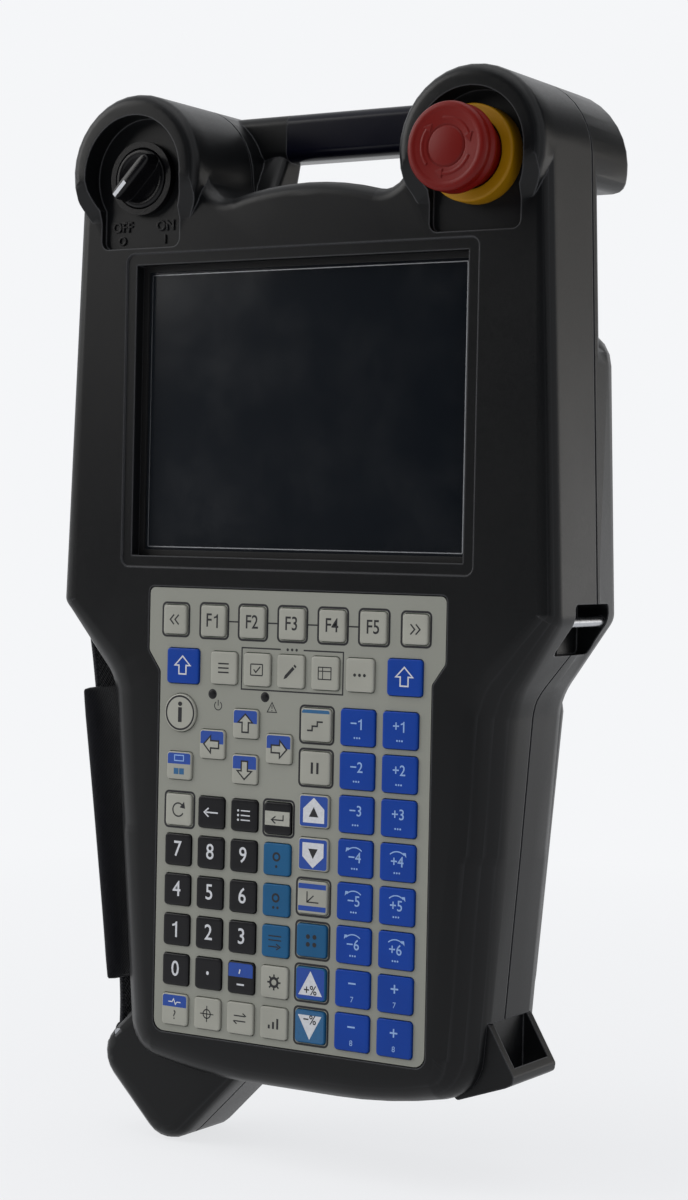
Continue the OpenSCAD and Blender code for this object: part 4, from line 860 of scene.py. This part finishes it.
def buildSheetPrint():
    sk = Sketch(["inkBlack"])
    gap, ring, line, lift = printing["gap"], printing["ring"], printing["line"], printing["lift"]
    boxed = [("keys_function", k) for k in range(7)] + [("keys_edit", 0), ("keys_edit", 3)]
    boxed += [(key, 0) for key in ("key_step", "key_hold", "key_frame", "key_group", "key_faster", "key_slower")]
    for node, which in boxed:
        x, z, w, h = keyRect(node, which)
        grow = 2 * (gap + ring)
        sk.at(x, z, sheetY).frameRing(w + grow, h + grow, 1.9, ring, "inkBlack", lift)
    sk.at(0, 0, sheetY)
    row = [keyRect("keys_function", k) for k in range(7)]
    for a, b in zip(row[1:5], row[2:6]):  # short links between the numbered keys
        reach = a[2] / 2 + gap + ring
        sk.line([(a[0] / mm + reach, a[1] / mm), (b[0] / mm - reach, b[1] / mm)], line, "inkBlack", lift)
    first, last = keyRect("keys_menu", 1), keyRect("keys_menu", 3)  # a frame round the three middle menu keys
    left, right = first[0] / mm - first[2] / 2 - 1.3, last[0] / mm + last[2] / 2 + 1.3
    top, low = first[1] / mm + first[3] / 2 + 1.7, first[1] / mm - first[3] / 2 - 1.3
    mid, title = (left + right) / 2, printing["titleHalf"]
    sk.line([(mid - title, top), (left, top), (left, low), (right, low), (right, top), (mid + title, top)],
            line, "inkBlack", lift)
    for k in (-1, 0, 1):
        sk.disc(mid + k * 1.8, top, 0.5, "inkBlack", lift, 14)
    for k, (px, pz) in enumerate(lightsAt()):
        sk.at(px, pz, sheetY)
        sk.ring(circleLoop(1.75, 28), circleLoop(1.3, 28), "inkBlack", lift)
        if k == 0:  # power mark
            sk.arc(2.4, -3.9, 1.5, 125, 415, 0.34, "inkBlack", lift, 22)
            sk.line([(2.4, -1.9), (2.4, -3.9)], 0.36, "inkBlack", lift)
        else:  # attention mark
            sk.line([(2.9, -1.7), (1.0, -5.0), (4.8, -5.0)], 0.34, "inkBlack", lift, True)
            sk.line([(2.9, -2.7), (2.9, -3.8)], 0.34, "inkBlack", lift)
            sk.disc(2.9, -4.45, 0.22, "inkBlack", lift, 10)
    sk.build("sheet_print", "case", slot="sheet_grey")


def buildLights():
    sk = Sketch(["dark"])
    for px, pz in lightsAt():
        sk.at(px, pz, sheetY)
        sk.cap(lambda inset: circleLoop(1.36 - min(inset, 1.1), 28), 0.3, 0.25, -0.7, "dark", 0.06)
    sk.build("status_lights", "case", slot="key_dark")


buildSheetPrint()
buildLights()
print("sheet printed")


# screen

filmEdgeHighlight = {"inset": 5.5, "line": 0.35}


def buildScreenEdge():  # painted highlight: the touch film's cut edge is drawn as one thin pale metal line
    lo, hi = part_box("touch_glass")
    w, h = (hi.x - lo.x) / mm, (hi.z - lo.z) / mm
    sk = Sketch(["lcdFrame"]).at(*middle(lo, hi), lo.y)
    inset = filmEdgeHighlight["inset"]
    sk.frameRing(w - 2 * inset, h - 2 * inset, 0.5, filmEdgeHighlight["line"], "lcdFrame", 0.05)
    sk.build("film_edge_highlight", "case", slot="lcd_frame")


buildScreenEdge()


# emergency stop

def lathe(bm, profile, axisX, axisZ, n=96):  # profile of (radius, y) in metres about a line along Y
    rings = []
    for r, y in profile:
        if r < 1e-7:
            rings.append([bm.verts.new((axisX, y, axisZ))])
        else:
            rings.append([bm.verts.new((axisX + x, y, axisZ + z)) for x, z in circleLoop(r, n)])
    for a, b in zip(rings, rings[1:]):
        for k in range(n):
            j = (k + 1) % n
            if len(a) == 1:
                f = bm.faces.new((a[0], b[k], b[j]))
            elif len(b) == 1:
                f = bm.faces.new((a[k], b[0], a[j]))
            else:
                f = bm.faces.new((a[k], b[k], b[j], a[j]))
            f.smooth = True


def meshObject(name, bm, used, body, replaced, slot):
    bmesh.ops.recalc_face_normals(bm, faces=bm.faces[:])
    return piece(name, bm, used, body, replaced, slot)


stopHead = {"arrows": 3, "arrowInner": 8.3, "arrowOuter": 9.3, "sweep": 76, "first": 98, "steps": 20}


def buildStopHead():
    lo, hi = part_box("estop_head")
    cx, cz = middle(lo, hi)
    R = (hi.x - lo.x) / 2 / mm
    y0, y1 = lo.y / mm, hi.y / mm
    p = [(0, 0.0), (5.9, 0.0), (6.25, 0.12), (6.45, 0.55), (6.75, 0.6), (7.0, 0.3), (7.3, 0.22), (11.3, 0.22),
         (11.6, 0.16), (11.9, 0.0), (R - 1.5, 0.0), (R - 0.75, 0.2), (R - 0.2, 0.75), (R - 0.05, 1.5), (R - 0.25, 3.1),
         (R - 0.6, 4.2), (R - 0.5, 5.0), (R - 0.05, 6.1), (R, 7.2), (R - 0.35, 8.1), (R - 1.3, 8.6), (R - 2.6, 8.7),
         (11.5, 9.4), (11.5, y1 - y0 - 0.6), (11.1, y1 - y0)]
    bm = bmesh.new()
    lathe(bm, [(r * mm, (y0 + d) * mm) for r, d in p], cx, cz, 128)
    inner, outer = stopHead["arrowInner"], stopHead["arrowOuter"]
    sweep, steps = math.radians(stopHead["sweep"]), stopHead["steps"]
    ridge = [(-0.12, 0.2), (0.12, 0.02), (0.5, -0.02), (0.88, 0.02), (1.12, 0.2)]  # share of the width, depth

    def spot(r, a, d):  # radius in millimetres, angle, depth below the head's front
        return bm.verts.new((cx + r * mm * math.cos(a), (y0 + d) * mm, cz + r * mm * math.sin(a)))

    for k in range(stopHead["arrows"]):  # turn arrows: raised curved lines and their heads
        start = math.radians(120 * k + stopHead["first"])
        lines = [[spot(inner + (outer - inner) * t, start - sweep * i / steps, d) for t, d in ridge]
                 for i in range(steps + 1)]
        for a, b in zip(lines, lines[1:]):
            for i in range(len(ridge) - 1):
                bm.faces.new((a[i], a[i + 1], b[i + 1], b[i])).smooth = True
        end = start - sweep
        top = [spot(inner - 1.0, end, -0.02), spot(outer + 1.0, end, -0.02),
               spot((inner + outer) / 2, end - math.radians(17), 0.05)]
        base = [bm.verts.new((v.co.x, (y0 + 0.3) * mm, v.co.z)) for v in top]
        bm.faces.new(top)
        for i in range(3):
            j = (i + 1) % 3
            bm.faces.new((top[i], top[j], base[j], base[i]))
    meshObject("stop_mushroom", bm, ["stopRed"], "stop_head", ["estop_head"], "stop_red")


buildStopHead()


# key selector

def buildSelector():
    lo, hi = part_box("selector_knob")
    cx, cz = middle(lo, hi)
    R = (hi.x - lo.x) / 2 / mm
    front = lo.y / mm
    face = front + 6.3  # the knob's disc lies behind the ridge's front
    bm = bmesh.new()
    p = [(0, 0.35), (7.6, 0.35), (8.0, 0.2), (8.3, 0.0), (R - 1.0, 0.0), (R - 0.35, 0.25), (R - 0.05, 0.9),
         (R, 2.4), (R, 9.4)]
    lathe(bm, [(r * mm, (face + d) * mm) for r, d in p], cx, cz, 96)
    turn = Matrix.Rotation(math.radians(45), 4, "Y")
    # the ridge: a long bar with sloping flanks and rounded ends, from lower left to upper right
    # the ridge's sections: height, half width, half length
    steps = [(0.0, 2.9, 10.0), (2.6, 2.35, 9.95), (5.0, 2.1, 9.8), (5.9, 1.9, 9.6), (6.25, 1.5, 9.2)]
    loops = []
    for up, hw, hl in steps:
        loop = []
        for k in range(36):
            a = 2 * math.pi * k / 36
            x = hw * math.copysign(abs(math.cos(a)) ** 0.6, math.cos(a))
            z = hl * math.copysign(abs(math.sin(a)) ** 0.35, math.sin(a))
            reach = math.hypot(x, z)
            if reach > R - 0.45:
                x, z = x * (R - 0.45) / reach, z * (R - 0.45) / reach
            v = turn @ Vector((x, 0, z))
            loop.append(bm.verts.new((cx + v.x * mm, (face - up + 0.3) * mm, cz + v.z * mm)))
        loops.append(loop)
    skin(bm, loops)
    bm.faces.new(loops[-1]).smooth = True
    # the white pointer on the ridge's lower left half
    tick = []
    for x, z in ((-0.75, -9.2), (0.75, -9.2), (0.75, -2.6), (-0.75, -2.6)):
        v = turn @ Vector((x, 0, z))
        tick.append((cx + v.x * mm, cz + v.z * mm))
    front4 = [bm.verts.new((x, (face - 6.25 + 0.28) * mm, z)) for x, z in tick]
    back4 = [bm.verts.new((v.co.x, v.co.y + 0.4 * mm, v.co.z)) for v in front4]
    bm.faces.new(front4).material_index = 1
    for i in range(4):
        j = (i + 1) % 4
        bm.faces.new((front4[i], front4[j], back4[j], back4[i])).material_index = 1
    meshObject("selector_handle", bm, ["control", "inkWhite"], "selector", ["selector_knob"], "control_black")


buildSelector()


marks = {"spread": 9.3, "word": -16.8, "sign": -21.6, "size": 5.0, "height": 0.35, "bevel": 0.08}


def raisedText(name, words, size, x, y, z, bold):  # lettering that stands up from the pocket's floor
    cu = letters(name, words, size * mm, bold * mm)
    cu.extrude, cu.bevel_depth, cu.bevel_resolution = marks["height"] * mm, marks["bevel"] * mm, 1
    ob = show(name, cu)
    ob.matrix_world = Matrix.Translation((x, y, z)) @ Matrix.Rotation(math.radians(90), 4, "X")
    bpy.context.view_layer.update()
    me = meshOf(ob)
    me.transform(ob.matrix_world)
    bpy.data.objects.remove(ob)
    me.materials.clear()
    me.materials.append(looks["control"])
    made = show(name, me)
    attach(made, "case")


def buildSelectorMarks():  # raised OFF and ON with their plain symbols, on the pocket's floor
    knobLo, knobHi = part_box("selector_knob")
    cx, cz = middle(knobLo, knobHi)
    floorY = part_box("selector_block")[0].y
    y = floorY - 0.1 * mm
    for word, side, sign in (("OFF", -1, "O"), ("ON", 1, "I")):
        x = cx + side * marks["spread"] * mm
        raisedText("mark_" + word.lower(), word, marks["size"], x, y, cz + marks["word"] * mm, 0.05)
        raisedText("sign_" + word.lower(), sign, marks["size"] * 0.85, x, y, cz + marks["sign"] * mm, 0.03)


buildSelectorMarks()
print("controls built")


# strap

# the CAD's strap path in millimetres, as (x, height above the case's foot)
strapRoute = [(-97.9, 161.5), (-97.0, 152.0), (-94.6, 137.0), (-86.8, 80.0), (-80.5, 27.0), (-80.8, 1.5)]
caseFoot = -331.0
strapY = -17.0
webbing = {"width": 25.0, "thick": 2.0, "round": 0.8, "loopR": 2.9, "loopSteps": 40, "steps": 14}


def smoothRoute(points, n):  # Catmull-Rom through the points
    out = []
    pts = [points[0]] + list(points) + [points[-1]]
    for i in range(1, len(pts) - 2):
        p0, p1, p2, p3 = (Vector(p) for p in pts[i - 1:i + 3])
        for k in range(n):
            t = k / n
            bend, twist = 2 * p0 - 5 * p1 + 4 * p2 - p3, 3 * p1 - p0 - 3 * p2 + p3
            out.append(0.5 * ((2 * p1) + (p2 - p0) * t + bend * t * t + twist * t ** 3))
    out.append(Vector(points[-1]))
    return out


def strapFrames(route):  # each point with the direction that leads away from the grip there
    last = len(route) - 1
    for i, p in enumerate(route):
        d = (route[min(i + 1, last)] - route[max(i - 1, 0)]).normalized()
        yield p, Vector((d.y, -d.x))


def strapVert(bm, p, side, out, y):  # a point out millimetres from p along side, both as (x, height)
    return bm.verts.new(((p[0] + side[0] * out) * mm, (strapY + y) * mm, (caseFoot + p[1] + side[1] * out) * mm))


def closeEnds(bm, rings):
    for ring in (rings[0], rings[-1]):
        bm.faces.new(ring)


def buildWebbing():
    section = roundedLoop(webbing["thick"], webbing["width"], webbing["round"], 4)
    bm = bmesh.new()
    rings = [[strapVert(bm, p, side, s, y) for s, y in section]
             for p, side in strapFrames(smoothRoute(strapRoute, webbing["steps"]))]
    skin(bm, rings)
    closeEnds(bm, rings)
    for pin in pinPlaces():  # the loops round the pins
        loops = [[strapVert(bm, pin, ray, webbing["loopR"] + s, y) for s, y in section]
                 for ray in circleLoop(1.0, webbing["loopSteps"])]
        skin(bm, loops, around=True)
    meshObject("strap_tape", bm, ["web"], "case", ["strap_webbing"], "strap_fabric")


def pinPlaces():  # the left waist pin and the lower pin, from the pins' own solids
    spots = [((lo.x + hi.x) / 2 / mm, (lo.z + hi.z) / 2 / mm - caseFoot) for lo, hi in islands("strap_pins")]
    return [p for p in spots if p[0] < 0]


pad = {"width": 41.0, "thick": 5.6, "across": 14, "steps": 30, "endGap": 0.8, "stitch": 0.84, "stitchReach": 0.07}
padSim = {"pressure": 4.0, "mass": 0.05, "quality": 8, "frames": 20, "cap": 0.9, "seamAt": 0.8}


def swellPad(ob, held):  # a short cloth run under pressure; the seams are held, and no point moves beyond the cap
    scene = bpy.context.scene
    pins = ob.vertex_groups.new(name="seams")
    pins.add(held, 1.0, "REPLACE")
    cloth = ob.modifiers.new("swell", "CLOTH")
    cloth.settings.quality = padSim["quality"]
    cloth.settings.mass = padSim["mass"]
    cloth.settings.use_pressure = True
    cloth.settings.uniform_pressure_force = padSim["pressure"]
    cloth.settings.effector_weights.gravity = 0.0
    cloth.settings.vertex_group_mass = pins.name
    cloth.collision_settings.use_collision = False
    for frame in range(1, padSim["frames"] + 1):
        scene.frame_set(frame)
    shown = ob.evaluated_get(bpy.context.evaluated_depsgraph_get())
    moved = [v.co.copy() for v in shown.to_mesh().vertices]
    shown.to_mesh_clear()
    ob.modifiers.remove(cloth)
    ob.vertex_groups.remove(pins)
    scene.frame_set(1)
    far, cap = 0.0, padSim["cap"] * mm
    for v, new in zip(ob.data.vertices, moved):
        step = new - v.co
        if step.length > cap:
            step *= cap / step.length
        far = max(far, step.length)
        v.co += step
    print("pad swollen by", round(far / mm, 2), "mm")


def buildSleeve():
    lo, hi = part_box("strap_sleeve")
    z0, z1 = lo.z / mm - caseFoot + pad["endGap"], hi.z / mm - caseFoot - pad["endGap"]
    route = [p for p in smoothRoute(strapRoute, pad["steps"]) if z0 < p.y < z1]
    last, across = len(route) - 1, pad["across"]
    shares = [2 * k / across - 1 for k in range(across + 1)]  # -1 to 1 across the pad
    bm = bmesh.new()
    rings, held = [], []
    for i, (p, side) in enumerate(strapFrames(route)):
        puff = min(1.0, math.sqrt(max(min(i, last - i) / 6.0, 0.02)))
        pull = 1 - 0.012 * (1 - puff)
        ring = []
        for face in (1, -1):
            for c in (face * share for share in shares):
                crown = (1 - abs(c) ** 4.0) ** 0.6
                near = abs(abs(c) - pad["stitch"]) / pad["stitchReach"]
                seam = 0.72 + 0.28 * min(1.0, near)  # the bound edge's stitch line
                t = pad["thick"] / 2 * (0.22 + 0.78 * crown) * (0.45 + 0.55 * puff) * seam
                if abs(c) > padSim["seamAt"] or i in (0, last):
                    held.append(i * 2 * (across + 1) + len(ring))
                ring.append(strapVert(bm, p, side, t * face, c * pad["width"] / 2 * pull))
        rings.append(ring)
    skin(bm, rings)
    closeEnds(bm, rings)
    ob = meshObject("strap_pad", bm, ["sleeve"], "case", ["strap_sleeve"], "strap_fabric")
    swellPad(ob, held)
    sub = ob.modifiers.new("round", "SUBSURF")
    sub.levels = sub.render_levels = 1


buildWebbing()
buildSleeve()
print("strap built")


# floor, light and camera

pale = (0.913, 0.922, 0.939, 1.0)  # the colour behind the pendant
ground = {"radius": 6, "sides": 96, "drop": 0.0005, "tone": (0.8, 0.8, 0.81, 1), "near": 0.15, "far": 0.9, "least": 0.72}
sky = {"tone": (0.93, 0.95, 1.0, 1), "strength": 0.55}
flagTone = (0.012, 0.012, 0.014, 1)


def seesPale(t):  # 1 where the camera, a reflection or a clear piece looks at it
    lp = put(t, "ShaderNodeLightPath")
    a = math2(t, "MAXIMUM", lp.outputs["Is Camera Ray"], lp.outputs["Is Glossy Ray"])
    return math2(t, "MAXIMUM", a, lp.outputs["Is Transmission Ray"])


def buildFloor():
    bm = bmesh.new()
    ring = circleLoop(ground["radius"], ground["sides"])
    bm.faces.new([bm.verts.new((centre.x + x, y, cadLo.z - ground["drop"])) for x, y in ring])
    m, t, b = surface("paleFloor", Roughness=0.8, Specular_IOR_Level=0.1)
    b.inputs["Base Color"].default_value = ground["tone"]
    glow = put(t, "ShaderNodeEmission", Color=pale, Strength=1.0)
    far = put(t, "ShaderNodeVectorMath", operation="LENGTH")
    t.links.new(objectPoint(t), far.inputs[0])
    share = spread(t, far.outputs["Value"], ground["near"], ground["far"], ground["least"], 1.0)
    fac = math2(t, "MULTIPLY", share, seesPale(t))
    join = put(t, "ShaderNodeMixShader")
    t.links.new(fac, join.inputs[0])
    t.links.new(b.outputs[0], join.inputs[1])
    t.links.new(glow.outputs[0], join.inputs[2])
    t.links.new(join.outputs[0], t.nodes["Material Output"].inputs["Surface"])
    meshFrom("floor", bm, [m])


def buildWorld():
    w = bpy.data.worlds.new("studio")
    bpy.context.scene.world = w
    w.use_nodes = True
    t = w.node_tree
    back = t.nodes["Background"]
    back.inputs["Color"].default_value = sky["tone"]
    back.inputs["Strength"].default_value = sky["strength"]
    seen = put(t, "ShaderNodeBackground", Color=pale, Strength=1.0)
    join = put(t, "ShaderNodeMixShader")
    t.links.new(seesPale(t), join.inputs[0])
    t.links.new(back.outputs[0], join.inputs[1])
    t.links.new(seen.outputs[0], join.inputs[2])
    t.links.new(join.outputs[0], t.nodes["World Output"].inputs["Surface"])


def lamp(name, where, aim, size, power, colour):
    data = bpy.data.lights.new(name, "AREA")
    data.energy, data.color, data.size = power, colour, size
    ob = bpy.data.objects.new(name, data)
    bpy.context.scene.collection.objects.link(ob)
    ob.location = where
    ob.rotation_euler = (Vector(aim) - Vector(where)).to_track_quat("-Z", "Y").to_euler()


def buildFlag(name, where, aim, width, height):  # a dark cloth that only reflections see
    m, t, b = surface(name + "Cloth", Roughness=0.9, Specular_IOR_Level=0.0)
    b.inputs["Base Color"].default_value = flagTone
    bm = bmesh.new()
    bm.faces.new([bm.verts.new((x * width / 2, z * height / 2, 0)) for x, z in ((-1, -1), (1, -1), (1, 1), (-1, 1))])
    ob = meshFrom(name, bm, [m])
    ob.location = where
    ob.rotation_euler = (Vector(aim) - Vector(where)).to_track_quat("Z", "Y").to_euler()
    ob.visible_camera = ob.visible_diffuse = ob.visible_shadow = ob.visible_transmission = False


view = {"place": (0.4589, -0.7547, -0.1427), "turn": (89.66, -1.16, 31.744), "lens": 75.0, "shiftY": -0.0388}


def buildCamera():
    data = bpy.data.cameras.new("camera")
    data.lens, data.sensor_width, data.shift_y = view["lens"], 36.0, view["shiftY"]
    cam = show("camera", data)
    cam.location = view["place"]
    cam.rotation_euler = [math.radians(a) for a in view["turn"]]
    bpy.context.scene.camera = cam


buildCamera()
buildFloor()
buildWorld()
target = (0, 0, -0.17)
lamps = [  # name, place, size, watts, colour
    ("softLeft", (-1.5, -1.0, 0.7), 1.3, 20, (1, 0.985, 0.96)),
    ("softTop", (0.1, -0.3, 1.6), 1.4, 8, (1, 1, 1)),
    ("softRight", (1.05, 1.15, -0.05), 0.9, 3.5, (1, 0.96, 0.9)),
]
for name, where, size, power, colour in lamps:
    lamp(name, where, target, size, power, colour)
flags = [  # name, place, what it faces, width, height
    ("frontFlag", (-0.35, -1.9, 0.1), (0, 0, -0.15), 4.4, 3.4),
    ("sideFlag", (1.15, 1.75, 0.9), (0, 0, 0.1), 2.0, 1.7),
]
for flag in flags:
    buildFlag(*flag)
bpy.context.scene.view_settings.view_transform = "Standard"
print("stage set")
